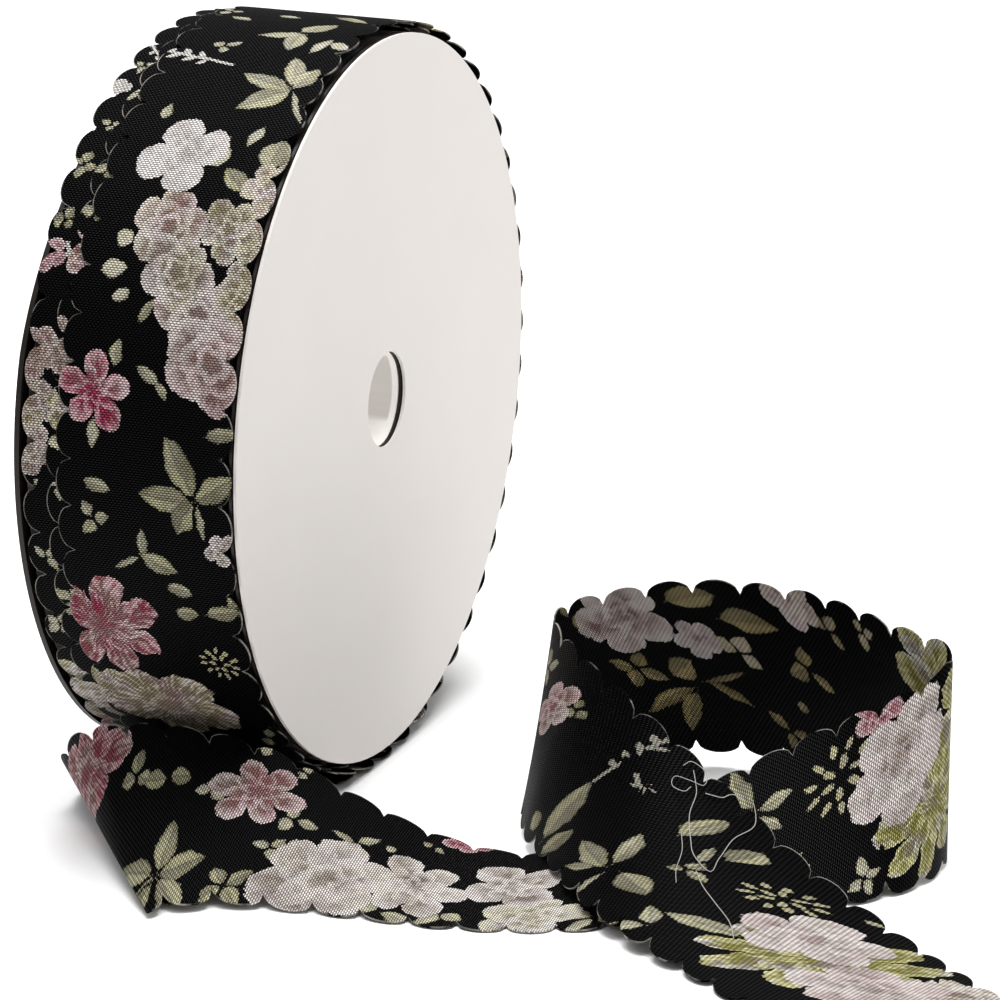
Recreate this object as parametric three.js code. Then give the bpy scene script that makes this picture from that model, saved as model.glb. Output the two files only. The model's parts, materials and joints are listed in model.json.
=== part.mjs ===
// Roll of scalloped floral ribbon between two thin discs, with its loose end laid out in a curl.
// Millimetres, +Z up. The roll's axis is along X, its white face looks to +X, and the floor is z = 0.
// The origin is the middle of the small flat that the wound ribbon rests on.

import * as THREE from 'three';
import { mergeVertices } from 'three/addons/utils/BufferGeometryUtils.js';

// Driving dimensions of the spool
const DISC_RADIUS = 63;
const HOLE_RADIUS = 8.3;
const ROLL_WIDTH = 40;
const FACE_THICKNESS = 0.5;
const FLANGE_THICKNESS = 0.5;
const BACK_FLANGE_THICKNESS = 0.9;
const CORE_INNER_RADIUS = 8.8;
const CORE_OUTER_RADIUS = 12.5;
const GAP = 0.3;
const DISC_SEGMENTS = 120;
const HOLE_SEGMENTS = 36;

// The far disc is bent in at its top: how far its rim comes in there, from what radius it bends,
// and the cosine of the angle from the top at which the bend ends on either side.
const BEND_DEPTH = 3.8;
const BEND_RADIUS = 20;
const BEND_END = 0.3;

// Driving dimensions of the ribbon
const WOUND_WIDTH = 37;
const SCALLOP_PITCH = 8.15;
const SCALLOP_DEPTH = 2.6;
const STEPS_PER_SCALLOP = 5;
const TURN_STEP = 0.8;
const SHEET_THICKNESS = 1;
const FLAT_DEPTH = 0.5;

// Radius of the outermost turn, measured from the spool's axis. The angle starts at the top and
// goes over the back: the turn lies tight at the front and hangs slack at the back and below.
const OUTER_TURN = [
  { angle: 0, radius: 65.0 },
  { angle: 45, radius: 65.5 },
  { angle: 90, radius: 65.4 },
  { angle: 135, radius: 65.8 },
  { angle: 180, radius: 66.0 },
  { angle: 225, radius: 64.6 },
  { angle: 270, radius: 63.8 },
  { angle: 315, radius: 64.2 },
];

// The three turns that show. The ribbon is narrower than the spool, so each turn stops at another
// place on the left. left and right are where the tips of its scallops lie along X, the phases
// where its scallops start, as a share of one, and follow how much of the far disc's bend its left
// edge follows. The turns wound below them fill the spool's width.
const VISIBLE_TURNS = [
  { name: 'outermost', left: -12.0, right: 18.3, leftPhase: 0, rightPhase: 0.35, follow: 0 },
  { name: 'second', left: -14.8, right: 17.9, leftPhase: 0.45, rightPhase: 0.8, follow: 0.25 },
  { name: 'third', left: -18.4, right: 17.6, leftPhase: 0.7, rightPhase: 0.1, follow: 1 },
];

// Middle height of a sheet that lies on the floor, and on one sheet that already lies there
const LYING = SHEET_THICKNESS / 2;
const ON_TOP = LYING + SHEET_THICKNESS + 2 * GAP;

// The loose end, a row for each place where it changes. low is the edge that stays near the floor
// (the right edge where the ribbon leaves the roll), high is the other edge, as [x, y, z].
const LOOSE_END = [
  { place: 'leaves the roll', low: [18, -15, LYING], high: [-19, -15, LYING] },
  { place: 'flat on the floor', low: [18, -34, LYING], high: [-20, -20, LYING] },
  { place: 'flat, nearing the fold', low: [16, -60, LYING], high: [-21, -26, LYING] },
  { place: 'fold begins', low: [14, -81, LYING], high: [-23, -36, 3.5] },
  { place: 'fold, outermost', low: [13, -85, 1.3], high: [-22.5, -43, 9.5] },
  { place: 'fold, turned over', low: [14.5, -84, ON_TOP], high: [-18, -46, 15] },
  { place: 'leans by the roll', low: [18, -80, ON_TOP], high: [-9.5, -48.5, 18.5] },
  { place: 'leans, highest', low: [25, -76, 1.2], high: [5, -50.5, 20.5] },
  { place: 'leans, past the disc', low: [34, -74, LYING], high: [19.5, -49, 18] },
  { place: 'sinks', low: [46, -73, LYING], high: [33, -46, 11] },
  { place: 'almost flat', low: [59, -72, LYING], high: [48, -42, 4] },
  { place: 'lowest', low: [74, -68, LYING], high: [62.5, -39, 2.2] },
  { place: 'starts to rise', low: [88, -60, LYING], high: [76, -33, 5.6] },
  { place: 'rises', low: [104, -49, LYING], high: [90.5, -24.5, 14.5] },
  { place: 'rises on', low: [117, -38, LYING], high: [104.5, -14.5, 21.5] },
  { place: 'stands, front right', low: [125, -26, LYING], high: [120, -11, 30] },
  { place: 'stands, right', low: [126, -13, LYING], high: [124, -5.5, 34.5] },
  { place: 'curl, back right', low: [117, 3, 1.6], high: [110, 3, 35.5] },
  { place: 'curl, back', low: [98, 15, 2.6], high: [92, 12, 36] },
  { place: 'curl, back left', low: [77, 19, 2.8], high: [75, 12, 36] },
  { place: 'curl, left back', low: [60, 10, 1.8], high: [61, 2, 35.5] },
  { place: 'curl, left', low: [50.5, -7, 0.7], high: [56, -12, 35.5] },
  { place: 'curl, front left', low: [56, -28, 1.4], high: [66, -27.5, 34.5] },
  { place: 'over the lower layer', low: [66, -43, 2.8], high: [77.5, -35, 30.5] },
  { place: 'leans back', low: [77, -57, 3], high: [87.5, -38, 25] },
  { place: 'lies back', low: [90, -69, 2.6], high: [98, -39.5, 17.5] },
  { place: 'lies down', low: [103, -77, 1], high: [111.5, -43, 9] },
  { place: 'flat again', low: [117, -87, LYING], high: [130, -49, 1.2] },
  { place: 'flat to the end', low: [132, -98, LYING], high: [151, -66, LYING] },
  { place: 'cut end', low: [146, -110, LYING], high: [166, -79, LYING] },
];
const SAMPLES_PER_ROW = 40;

// Places that follow from the dimensions
const AXIS_HEIGHT = OUTER_TURN[4].radius - FLAT_DEPTH;
const FACE_INNER_X = ROLL_WIDTH / 2 - FACE_THICKNESS;
const FLANGE_OUTER_X = FACE_INNER_X - GAP;
const FLANGE_INNER_X = FLANGE_OUTER_X - FLANGE_THICKNESS;
const BACK_FLANGE_INNER_X = -ROLL_WIDTH / 2 + BACK_FLANGE_THICKNESS;
const RIBBON_MIDDLE_X = (FLANGE_INNER_X + BACK_FLANGE_INNER_X) / 2;
const EDGE_BAND = SCALLOP_DEPTH + 0.9;

// Finishes
const WHITE_CARD = new THREE.MeshStandardMaterial({ color: 0xe6e2de, roughness: 0.75, metalness: 0 });
const DARK_FLANGE = new THREE.MeshStandardMaterial({ color: 0x1a1617, roughness: 0.45, metalness: 0 });
const WHITE_CORE = new THREE.MeshStandardMaterial({ color: 0xdedbd8, roughness: 0.6, metalness: 0 });
const WOUND_CLOTH = new THREE.MeshStandardMaterial({ color: 0x141316, roughness: 0.7, metalness: 0 });
const LOOSE_CLOTH = new THREE.MeshStandardMaterial({ color: 0x17161a, roughness: 0.7, metalness: 0 });

// A half circle's height over one scallop: 0 in the notch, 1 at the tip.
function scallopHeight(phase) {
  const across = 2 * (phase - Math.floor(phase)) - 1;
  return Math.sqrt(Math.max(0, 1 - across * across));
}

// How far the edge draws in from the tips at this share of a scallop.
function scallopInset(phase) {
  return SCALLOP_DEPTH * (1 - scallopHeight(phase));
}

function meshFrom(name, geometry, material) {
  const mesh = new THREE.Mesh(geometry, material);
  mesh.name = name;
  return mesh;
}

// A closed geometry from points and triangles.
function closedGeometry(points, triangles) {
  const geometry = new THREE.BufferGeometry();
  geometry.setAttribute('position', new THREE.Float32BufferAttribute(points.flat(), 3));
  geometry.setIndex(triangles.flat());
  geometry.computeVertexNormals();
  return geometry;
}

// A flat ring across the spool's axis, between two places along X.
function ringMesh(name, outerRadius, innerRadius, startX, endX, material) {
  const outline = new THREE.Shape();
  outline.setFromPoints(circlePoints(outerRadius, DISC_SEGMENTS));
  const hole = new THREE.Path();
  hole.setFromPoints(circlePoints(innerRadius, HOLE_SEGMENTS));
  outline.holes.push(hole);
  const geometry = new THREE.ExtrudeGeometry(outline, { depth: endX - startX, bevelEnabled: false });
  geometry.deleteAttribute('normal');
  geometry.deleteAttribute('uv');
  const mesh = meshFrom(name, mergeVertices(geometry, 1e-4), material);
  mesh.rotation.y = Math.PI / 2;
  mesh.position.set(startX, 0, AXIS_HEIGHT);
  return mesh;
}

function circlePoints(radius, segments) {
  const points = [];
  for (let step = 0; step < segments; step += 1) {
    const angle = (2 * Math.PI * step) / segments;
    points.push(new THREE.Vector2(radius * Math.cos(angle), radius * Math.sin(angle)));
  }
  return points;
}

// Radius of the outermost turn at an angle in degrees, eased between the rows of the table.
function outerTurnRadius(degrees) {
  const spacing = 360 / OUTER_TURN.length;
  const row = Math.floor(degrees / spacing) % OUTER_TURN.length;
  const share = degrees / spacing - Math.floor(degrees / spacing);
  const eased = share * share * (3 - 2 * share);
  const next = OUTER_TURN[(row + 1) % OUTER_TURN.length];
  return OUTER_TURN[row].radius * (1 - eased) + next.radius * eased;
}

// How far the far disc's rim comes in at an angle from the top.
function bendAt(angle) {
  return (BEND_DEPTH * Math.max(0, Math.cos(angle) - BEND_END)) / (1 - BEND_END);
}

// A ring round the spool's axis. outlineAt gives its outline at a step, as [x, radius], from the bore
// up the left side, over the rim and down the right side.
function sweptRing(name, steps, outlineAt, material) {
  const points = [];
  const corners = outlineAt(0, 0).length;
  for (let step = 0; step < steps; step += 1) {
    const angle = (2 * Math.PI * step) / steps;
    for (const [x, radius] of outlineAt(step, angle)) {
      const height = AXIS_HEIGHT + radius * Math.cos(angle);
      points.push([x, radius * Math.sin(angle), Math.max(0, height)]);
    }
  }
  const triangles = [];
  for (let step = 0; step < steps; step += 1) {
    const nextStep = (step + 1) % steps;
    for (let corner = 0; corner < corners; corner += 1) {
      const nextCorner = (corner + 1) % corners;
      const a = step * corners + corner;
      const b = step * corners + nextCorner;
      const c = nextStep * corners + nextCorner;
      const d = nextStep * corners + corner;
      triangles.push([a, b, c], [a, c, d]);
    }
  }
  return meshFrom(name, closedGeometry(points, triangles), material);
}

// The far disc, which is bent in above.
function bentDisc() {
  const outlineAt = (step, angle) => [
    [-ROLL_WIDTH / 2, HOLE_RADIUS],
    [-ROLL_WIDTH / 2, BEND_RADIUS],
    [-ROLL_WIDTH / 2 + bendAt(angle), DISC_RADIUS],
    [BACK_FLANGE_INNER_X + bendAt(angle), DISC_RADIUS],
    [BACK_FLANGE_INNER_X, BEND_RADIUS],
    [BACK_FLANGE_INNER_X, HOLE_RADIUS],
  ];
  return sweptRing('back_flange', DISC_SEGMENTS, outlineAt, DARK_FLANGE);
}

// The wound ribbon: a thick ring whose last turns step in with scalloped edges.
function woundRibbon() {
  const scallops = Math.round((2 * Math.PI * DISC_RADIUS) / SCALLOP_PITCH);
  const steps = scallops * STEPS_PER_SCALLOP;
  const leftSide = RIBBON_MIDDLE_X - WOUND_WIDTH / 2;
  const rightSide = RIBBON_MIDDLE_X + WOUND_WIDTH / 2;
  const boreRadius = CORE_OUTER_RADIUS + GAP;
  const outlineAt = (step, angle) => {
    let below = outerTurnRadius((360 * step) / steps) - TURN_STEP * VISIBLE_TURNS.length;
    const bend = bendAt(angle);
    const left = [[leftSide, boreRadius], [leftSide, BEND_RADIUS], [leftSide + bend, below]];
    const right = [[rightSide, boreRadius], [rightSide, BEND_RADIUS], [rightSide, below]];
    for (const turn of [...VISIBLE_TURNS].reverse()) {
      const phase = step / STEPS_PER_SCALLOP;
      const leftEdge = turn.left + turn.follow * bend + scallopInset(phase + turn.leftPhase);
      const rightEdge = turn.right - scallopInset(phase + turn.rightPhase);
      left.push([leftEdge, below], [leftEdge, below + TURN_STEP]);
      right.push([rightEdge, below], [rightEdge, below + TURN_STEP]);
      below += TURN_STEP;
    }
    return [...left, ...right.reverse()];
  };
  return sweptRing('ribbon_roll', steps, outlineAt, WOUND_CLOTH);
}

// One long edge of the loose end: a smooth curve through the table's column, with its length.
class LooseEdge {
  constructor(column) {
    const places = LOOSE_END.map((row) => new THREE.Vector3(...row[column]));
    this.curve = new THREE.CatmullRomCurve3(places, false, 'centripetal');
    this.samples = (LOOSE_END.length - 1) * SAMPLES_PER_ROW;
    this.lengths = [0];
    let previous = this.curve.getPoint(0);
    for (let sample = 1; sample <= this.samples; sample += 1) {
      const point = this.curve.getPoint(sample / this.samples);
      this.lengths.push(this.lengths[sample - 1] + point.distanceTo(previous));
      previous = point;
    }
  }

  // Shares of the table at which this edge has its scallop steps.
  stations() {
    const total = this.lengths[this.samples];
    const count = Math.round(total / SCALLOP_PITCH) * STEPS_PER_SCALLOP;
    const shares = [];
    let sample = 0;
    for (let step = 0; step <= count; step += 1) {
      const wanted = (total * step) / count;
      while (sample < this.samples - 1 && this.lengths[sample + 1] < wanted) {
        sample += 1;
      }
      const span = this.lengths[sample + 1] - this.lengths[sample];
      const within = Math.min(1, (wanted - this.lengths[sample]) / span);
      shares.push((sample + within) / this.samples);
    }
    return shares;
  }
}

// The middle surface of the loose end: straight from the low edge to the high edge at each share.
class LooseSurface {
  constructor() {
    this.low = new LooseEdge('low');
    this.high = new LooseEdge('high');
  }

  // Point at a share of the table, at a distance in from the low edge (or from the high edge).
  point(share, inFromLow, inFromHigh) {
    const low = this.low.curve.getPoint(share);
    const high = this.high.curve.getPoint(share);
    const width = low.distanceTo(high);
    const across = inFromHigh === undefined ? inFromLow / width : 1 - inFromHigh / width;
    return low.lerp(high, across);
  }

  normal(share, inFromLow, inFromHigh) {
    const reach = 0.0015;
    const before = this.point(Math.max(0, share - reach), inFromLow, inFromHigh);
    const after = this.point(Math.min(1, share + reach), inFromLow, inFromHigh);
    const across = this.high.curve.getPoint(share).sub(this.low.curve.getPoint(share));
    return after.sub(before).cross(across).normalize();
  }
}

// The loose end as one sheet with a scalloped long edge on each side.
function looseEnd() {
  const surface = new LooseSurface();
  const lowShares = surface.low.stations();
  const highShares = surface.high.stations();
  const lines = [
    lowShares.map((share, step) => [share, scallopInset(step / STEPS_PER_SCALLOP), undefined]),
    lowShares.map((share) => [share, EDGE_BAND, undefined]),
    highShares.map((share) => [share, undefined, EDGE_BAND]),
    highShares.map((share, step) => [share, undefined, scallopInset(step / STEPS_PER_SCALLOP)]),
  ];
  const points = [];
  const faceStarts = [];
  for (const side of [1, -1]) {
    const starts = [];
    for (const line of lines) {
      starts.push(points.length);
      for (const [share, inFromLow, inFromHigh] of line) {
        const offset = surface.normal(share, inFromLow, inFromHigh).multiplyScalar((side * SHEET_THICKNESS) / 2);
        const point = surface.point(share, inFromLow, inFromHigh).add(offset);
        points.push([point.x, point.y, Math.max(0, point.z)]);
      }
    }
    faceStarts.push(starts);
  }
  const triangles = [];
  const [top, under] = faceStarts;
  const addBoth = (a, b, c) => {
    const shift = under[0] - top[0];
    triangles.push([a, b, c], [a + shift, c + shift, b + shift]);
  };
  for (let band = 0; band < lines.length - 1; band += 1) {
    zip(lines[band], lines[band + 1], top[band], top[band + 1], addBoth);
  }
  const last = lines.length - 1;
  for (let step = 0; step < lowShares.length - 1; step += 1) {
    const a = top[0] + step;
    const b = under[0] + step;
    triangles.push([a, b, b + 1], [a, b + 1, a + 1]);
  }
  for (let step = 0; step < highShares.length - 1; step += 1) {
    const a = top[last] + step;
    const b = under[last] + step;
    triangles.push([a, b + 1, b], [a, a + 1, b + 1]);
  }
  for (let band = 0; band < last; band += 1) {
    const [a, b] = [top[band], top[band + 1]];
    const [c, d] = [under[band], under[band + 1]];
    triangles.push([a, b, d], [a, d, c]);
    const end = lines[band].length - 1;
    const nextEnd = lines[band + 1].length - 1;
    triangles.push([a + end, d + nextEnd, b + nextEnd], [a + end, c + end, d + nextEnd]);
  }
  return meshFrom('ribbon_tail', closedGeometry(points, triangles), LOOSE_CLOTH);
}

// Triangles between two lines of points that need not have the same number of steps.
function zip(lowLine, highLine, lowStart, highStart, add) {
  let low = 0;
  let high = 0;
  while (low < lowLine.length - 1 || high < highLine.length - 1) {
    const lowNext = low < lowLine.length - 1 ? lowLine[low + 1][0] : Infinity;
    const highNext = high < highLine.length - 1 ? highLine[high + 1][0] : Infinity;
    if (lowNext <= highNext) {
      add(lowStart + low, lowStart + low + 1, highStart + high);
      low += 1;
    } else {
      add(lowStart + low, highStart + high + 1, highStart + high);
      high += 1;
    }
  }
}

const roll = new THREE.Group();
const faceEnd = ROLL_WIDTH / 2;
roll.add(ringMesh('front_face', DISC_RADIUS, HOLE_RADIUS, FACE_INNER_X, faceEnd, WHITE_CARD));
roll.add(ringMesh('front_flange', DISC_RADIUS, HOLE_RADIUS, FLANGE_INNER_X, FLANGE_OUTER_X, DARK_FLANGE));
roll.add(bentDisc());
const coreStart = BACK_FLANGE_INNER_X + GAP;
const coreEnd = FLANGE_INNER_X - GAP;
roll.add(ringMesh('core', CORE_OUTER_RADIUS, CORE_INNER_RADIUS, coreStart, coreEnd, WHITE_CORE));
roll.add(woundRibbon());
roll.add(looseEnd());

export default roll;
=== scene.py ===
"""Roll of scalloped floral ribbon with its loose end laid out in a curl.

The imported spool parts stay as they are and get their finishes. The wound ribbon and the loose end
are rebuilt as thin scalloped sheets with a printed, woven finish. Everything is in metres.
"""

import json
import logging
import math
import random
from dataclasses import dataclass, field
from enum import Enum
from typing import Any, NamedTuple, Sequence

import bpy
import numpy as np
from mathutils import Matrix, Vector

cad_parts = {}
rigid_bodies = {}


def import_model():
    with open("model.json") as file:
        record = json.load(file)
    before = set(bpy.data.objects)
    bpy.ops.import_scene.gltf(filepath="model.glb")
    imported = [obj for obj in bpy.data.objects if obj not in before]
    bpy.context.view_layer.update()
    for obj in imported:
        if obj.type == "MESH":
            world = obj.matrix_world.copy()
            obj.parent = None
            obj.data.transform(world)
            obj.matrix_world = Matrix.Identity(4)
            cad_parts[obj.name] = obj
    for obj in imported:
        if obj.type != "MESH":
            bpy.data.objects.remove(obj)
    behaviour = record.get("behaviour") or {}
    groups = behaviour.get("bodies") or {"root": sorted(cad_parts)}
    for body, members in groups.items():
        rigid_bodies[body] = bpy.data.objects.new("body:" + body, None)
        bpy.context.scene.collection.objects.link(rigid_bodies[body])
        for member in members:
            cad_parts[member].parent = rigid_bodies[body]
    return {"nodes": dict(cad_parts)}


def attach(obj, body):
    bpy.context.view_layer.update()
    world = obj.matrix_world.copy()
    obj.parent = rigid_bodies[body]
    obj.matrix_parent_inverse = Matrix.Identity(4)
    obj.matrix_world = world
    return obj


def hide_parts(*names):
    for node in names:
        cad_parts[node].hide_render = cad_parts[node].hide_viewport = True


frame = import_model()

LOG = logging.getLogger("ribbon_roll")
MM = 0.001
SEED = 20417

AXIS_HEIGHT = 65.5
SCALLOP_PITCH = 8.15
SCALLOP_DEPTH = 2.6
RIBBON_WIDTH = 31.5
LOOSE_WIDTH = 34.0
CLOTH_THICKNESS = 0.25
# The far disc is bent in at its top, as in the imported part.
DISC_RADIUS = 63
BEND_DEPTH = 3.8
BEND_RADIUS = 20
BEND_END = 0.3


def linear(code: str) -> tuple[float, float, float, float]:
    """Turns an sRGB colour into Blender's linear one.

    Args:
        code: six hex digits, red, green, blue.

    Returns:
        Linear red, green, blue and an alpha of 1.
    """
    parts = [int(code[at:at + 2], 16) / 255 for at in (0, 2, 4)]
    red, green, blue = [p / 12.92 if p <= 0.04045 else ((p + 0.055) / 1.055) ** 2.4 for p in parts]
    return red, green, blue, 1.0


class Graph:
    """A node tree that is being filled."""

    def __init__(self, tree: bpy.types.NodeTree) -> None:
        """Starts on a tree.

        Args:
            tree: the tree to fill.
        """
        self.tree = tree

    def add(self, kind: str, links: Any = (), out: int | str = 0, **settings: Any) -> bpy.types.NodeSocket:
        """Adds a node with its settings and links.

        Args:
            kind: the shader node's type without its prefix, or a full type name.
            links: values or output sockets for the inputs, in order or by name or number.
            out: the output that is returned, by number or name.
            **settings: the node's own properties.

        Returns:
            The chosen output socket, or the node's first input where it has no outputs.
        """
        node = self.tree.nodes.new(kind if kind.startswith("Node") else "ShaderNode" + kind)
        for name, value in settings.items():
            setattr(node, name, value)
        rows = links.items() if isinstance(links, dict) else enumerate(links)
        for key, value in rows:
            if isinstance(value, bpy.types.NodeSocket):
                self.tree.links.new(value, node.inputs[key])
            else:
                node.inputs[key].default_value = value
        return node.outputs[out] if len(node.outputs) else node.inputs[0]


# --- the print's chart ---------------------------------------------------------------------------


class Kind(Enum):
    """The kinds of printed motif, each drawn by one node group."""

    TWIG = "twig"
    LEAVES = "leaves"
    SEEDS = "seeds"
    BLOSSOM = "blossom"


# The layers of the print from the lowest up. Motifs that meet go into different layers of a kind.
LAYERS = (
    ("twig", Kind.TWIG),
    ("leaves_low", Kind.LEAVES),
    ("leaves_high", Kind.LEAVES),
    ("seeds", Kind.SEEDS),
    ("blossom_low", Kind.BLOSSOM),
    ("blossom_high", Kind.BLOSSOM),
)


class Motif(NamedTuple):
    """One printed motif. Lengths are millimetres on the cloth, along it and across it."""

    kind: Kind
    along: float
    across: float
    turn: float
    form: tuple[float, float, float]
    tint: tuple[float, float, float]
    seed: int

    def single(self) -> bool:
        """Tells whether the motif is one leaf, whose place is its middle and not its stalk."""
        return self.kind is Kind.LEAVES and self.form[1] == 1

    def reach(self) -> float:
        """Returns how far from its centre the motif may draw, in millimetres."""
        if self.single():
            return self.form[0] * 0.55 + 1.0
        size = self.form[2] if self.kind is Kind.BLOSSOM else self.form[0]
        return size * 1.12 + 1.6

    def behind(self) -> float:
        """Returns how far the drawing starts behind the motif's place, in millimetres."""
        return self.form[0] * 0.47 if self.single() else 0.0


def blossom(along: float, across: float, radius: float, petals: int, depth: float, pink: float = 0.0,
            olive: float = 0.0, streak: float = 0.1, turn: float = 0.0) -> Motif:
    """A flower: petals is their number, depth how deep the gaps between them go."""
    seed = int(along * 7 + across * 13) % 97
    return Motif(Kind.BLOSSOM, along, across, turn, (petals, depth, radius), (pink, olive, streak), seed)


def leaves(along: float, across: float, length: float, count: int, width: float, turn: float = 0.0,
           keep: float = 1.0, pale: float = 0.3, stem: float = 0.0) -> Motif:
    """A whorl of pointed leaves; width is half a leaf's, keep the share of them that is printed."""
    seed = int(along * 3 + across * 17) % 83
    return Motif(Kind.LEAVES, along, across, turn, (length, count, width), (pale, stem, keep), seed)


def leaf(along: float, across: float, length: float, width: float, turn: float, pale: float = 0.3) -> Motif:
    """One pointed leaf round its middle; width is half of it."""
    seed = int(along * 5 + across * 11) % 71
    return Motif(Kind.LEAVES, along, across, turn, (length * 1.25, 1, width * 1.3), (pale, 0.0, 1.0), seed)


def twig(along: float, across: float, length: float, blade: float, bend: float, turn: float = 0.0,
         pale: float = 0.8) -> Motif:
    """A thin stem with small leaves on both sides; blade is a leaf's length, pale how near white it is."""
    seed = int(along * 9 + across * 5) % 79
    return Motif(Kind.TWIG, along, across, turn, (length, blade, bend), (pale, 0.0, 0.0), seed)


def seeds(along: float, across: float, radius: float, size: float) -> Motif:
    """Two rings of small pale ovals."""
    seed = int(along * 4 + across * 3) % 73
    return Motif(Kind.SEEDS, along, across, 0.0, (radius, size, 0.0), (0.0, 0.0, 0.0), seed)


# Outermost turn. along runs from the top down over the front, across from the left edge's tips.
OUTER_CHART = [
    leaf(0.8, 6.5, 4.5, 0.9, 60, 0.6),
    twig(20.7, 13.5, 17.0, 2.6, 0.004, -104),
    leaves(14.7, 9.5, 3.4, 3, 0.9, 130, 1.0, 0.9),
    leaf(7.8, 17.0, 8.5, 1.1, -76, 0.7),
    leaf(11.0, 21.0, 8.6, 1.9, 5, 0.6),
    leaf(3.1, 22.6, 8.0, 2.2, 140, 0.6),
    leaf(11.3, 26.0, 6.5, 1.0, 163, 0.95),
    leaf(11.2, 29.0, 5.0, 1.3, 60, 1.0),
    leaf(23.6, 20.6, 11.5, 2.0, -110, 0.6),
    leaf(21.2, 24.6, 9.5, 1.8, -159, 0.6),
    leaf(22.4, 28.2, 8.0, 1.6, 155, 0.6),
    leaf(28.8, 22.6, 9.5, 1.8, -52, 0.55),
    leaf(30.2, 29.0, 8.0, 0.6, 30, 1.0),
    leaf(34.5, 6.7, 4.0, 0.9, 180, 0.8),
    leaf(38.5, 24.0, 5.0, 1.1, -20, 0.9),
    leaf(41.2, 29.3, 7.5, 2.8, 170, 0.5),
    leaf(47.0, 22.8, 8.0, 2.0, -135, 0.45),
    blossom(43.5, 13.0, 7.8, 4, 0.5, 0.05, 0.0, 0.02, 20),
    leaf(43.0, 18.8, 6.0, 2.4, 120, 1.0),
    blossom(48.0, 30.0, 4.8, 5, 0.4, 0.25, 0.3, 0.2),
    blossom(57.3, 25.3, 5.8, 5, 0.45, 0.1, 0.28, 0.35),
    blossom(57.8, 14.8, 7.2, 5, 0.3, 0.3, 0.15, 0.24, 30),
    blossom(65.5, 18.0, 6.8, 5, 0.3, 0.15, 0.2, 0.28, 10),
    blossom(55.5, 31.2, 4.4, 5, 0.35, 0.35, 0.15, 0.2),
    blossom(63.5, 31.0, 4.6, 5, 0.4, 0.1, 0.3, 0.35),
    blossom(69.5, 30.2, 4.8, 5, 0.4, 0.2, 0.28, 0.3),
    blossom(72.5, 23.2, 7.8, 5, 0.3, 0.25, 0.05, 0.28, 50),
    blossom(80.5, 26.8, 8.6, 5, 0.25, 0.38, 0.05, 0.3, 15),
    leaf(61.0, 8.0, 4.6, 1.3, 60, 0.95),
    leaf(66.0, 6.5, 4.4, 1.4, 100, 0.95),
    leaf(70.0, 9.5, 4.6, 0.8, 130, 0.9),
    leaf(72.5, 14.0, 5.0, 0.9, 150, 0.5),
    leaf(80.0, 9.5, 4.6, 1.0, 180, 0.55),
    blossom(87.0, 6.5, 6.8, 5, 0.8, 1.0, 0.0, 0.45, 35),
    leaf(93.5, 6.5, 4.6, 0.9, 0, 0.7),
    leaf(83.0, 15.5, 5.0, 0.7, 60, 0.6),
    leaf(85.8, 18.5, 3.6, 0.7, 30, 0.6),
    leaf(92.0, 29.5, 6.0, 1.3, 100, 0.4),
    leaf(103.5, 19.4, 10.5, 2.0, -96, 0.3),
    leaf(98.3, 22.4, 11.0, 1.8, -153, 0.3),
    leaf(101.5, 28.5, 8.5, 2.3, 122, 0.3),
    leaf(108.3, 22.8, 9.0, 1.8, -24, 0.3),
    leaf(108.7, 26.4, 9.0, 0.5, 10, 0.7),
    blossom(112.0, 29.6, 3.2, 5, 0.4, 0.1, 0.1, 0.3),
    leaf(103.0, 7.6, 5.5, 1.4, 80, 0.5),
    leaves(108.8, 6.4, 4.2, 3, 1.3, 90, 1.0, 0.5),
    leaf(116.2, 12.0, 5.0, 0.6, -60, 0.7),
    leaf(115.8, 17.5, 6.6, 1.3, 70, 0.4),
    leaf(112.3, 15.0, 4.2, 0.8, 180, 0.5),
    leaf(121.0, 20.9, 4.6, 1.1, 80, 0.5),
    leaf(125.2, 22.2, 5.2, 1.3, 90, 0.4),
    leaf(124.5, 28.5, 7.0, 1.4, 100, 0.3),
    leaf(121.5, 30.2, 4.2, 1.1, 150, 0.3),
    blossom(130.5, 5.6, 10.8, 7, 0.6, 1.0, 0.05, 0.9, 15),
    seeds(136.0, 25.4, 3.0, 0.65),
    # Painted shade: these two blossoms low on the front are printed with a high streak, which darkens them for the dim
    # light under the roll.
    blossom(150.0, 13.0, 11.0, 5, 0.35, 0.25, 0.3, 1.1, 0),
    blossom(146.5, 2.0, 6.5, 5, 0.4, 0.1, 0.5, 0.8, 0),
    leaves(158.0, 28.0, 5.0, 4, 1.4, 30, 0.8, 0.5),
    blossom(172.0, 10.0, 9.0, 5, 0.45, 0.6, 0.1, 0.4, 0),
    leaves(185.0, 22.0, 8.0, 5, 1.9, 0, 0.9, 0.4),
    leaves(407.5, 2.5, 3.6, 3, 1.0, 100, 1.0, 0.95),
    leaf(408.0, 14.5, 5.5, 0.8, 80, 0.9),
    leaf(406.0, 24.0, 8.0, 1.7, 60, 0.5),
]

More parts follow.
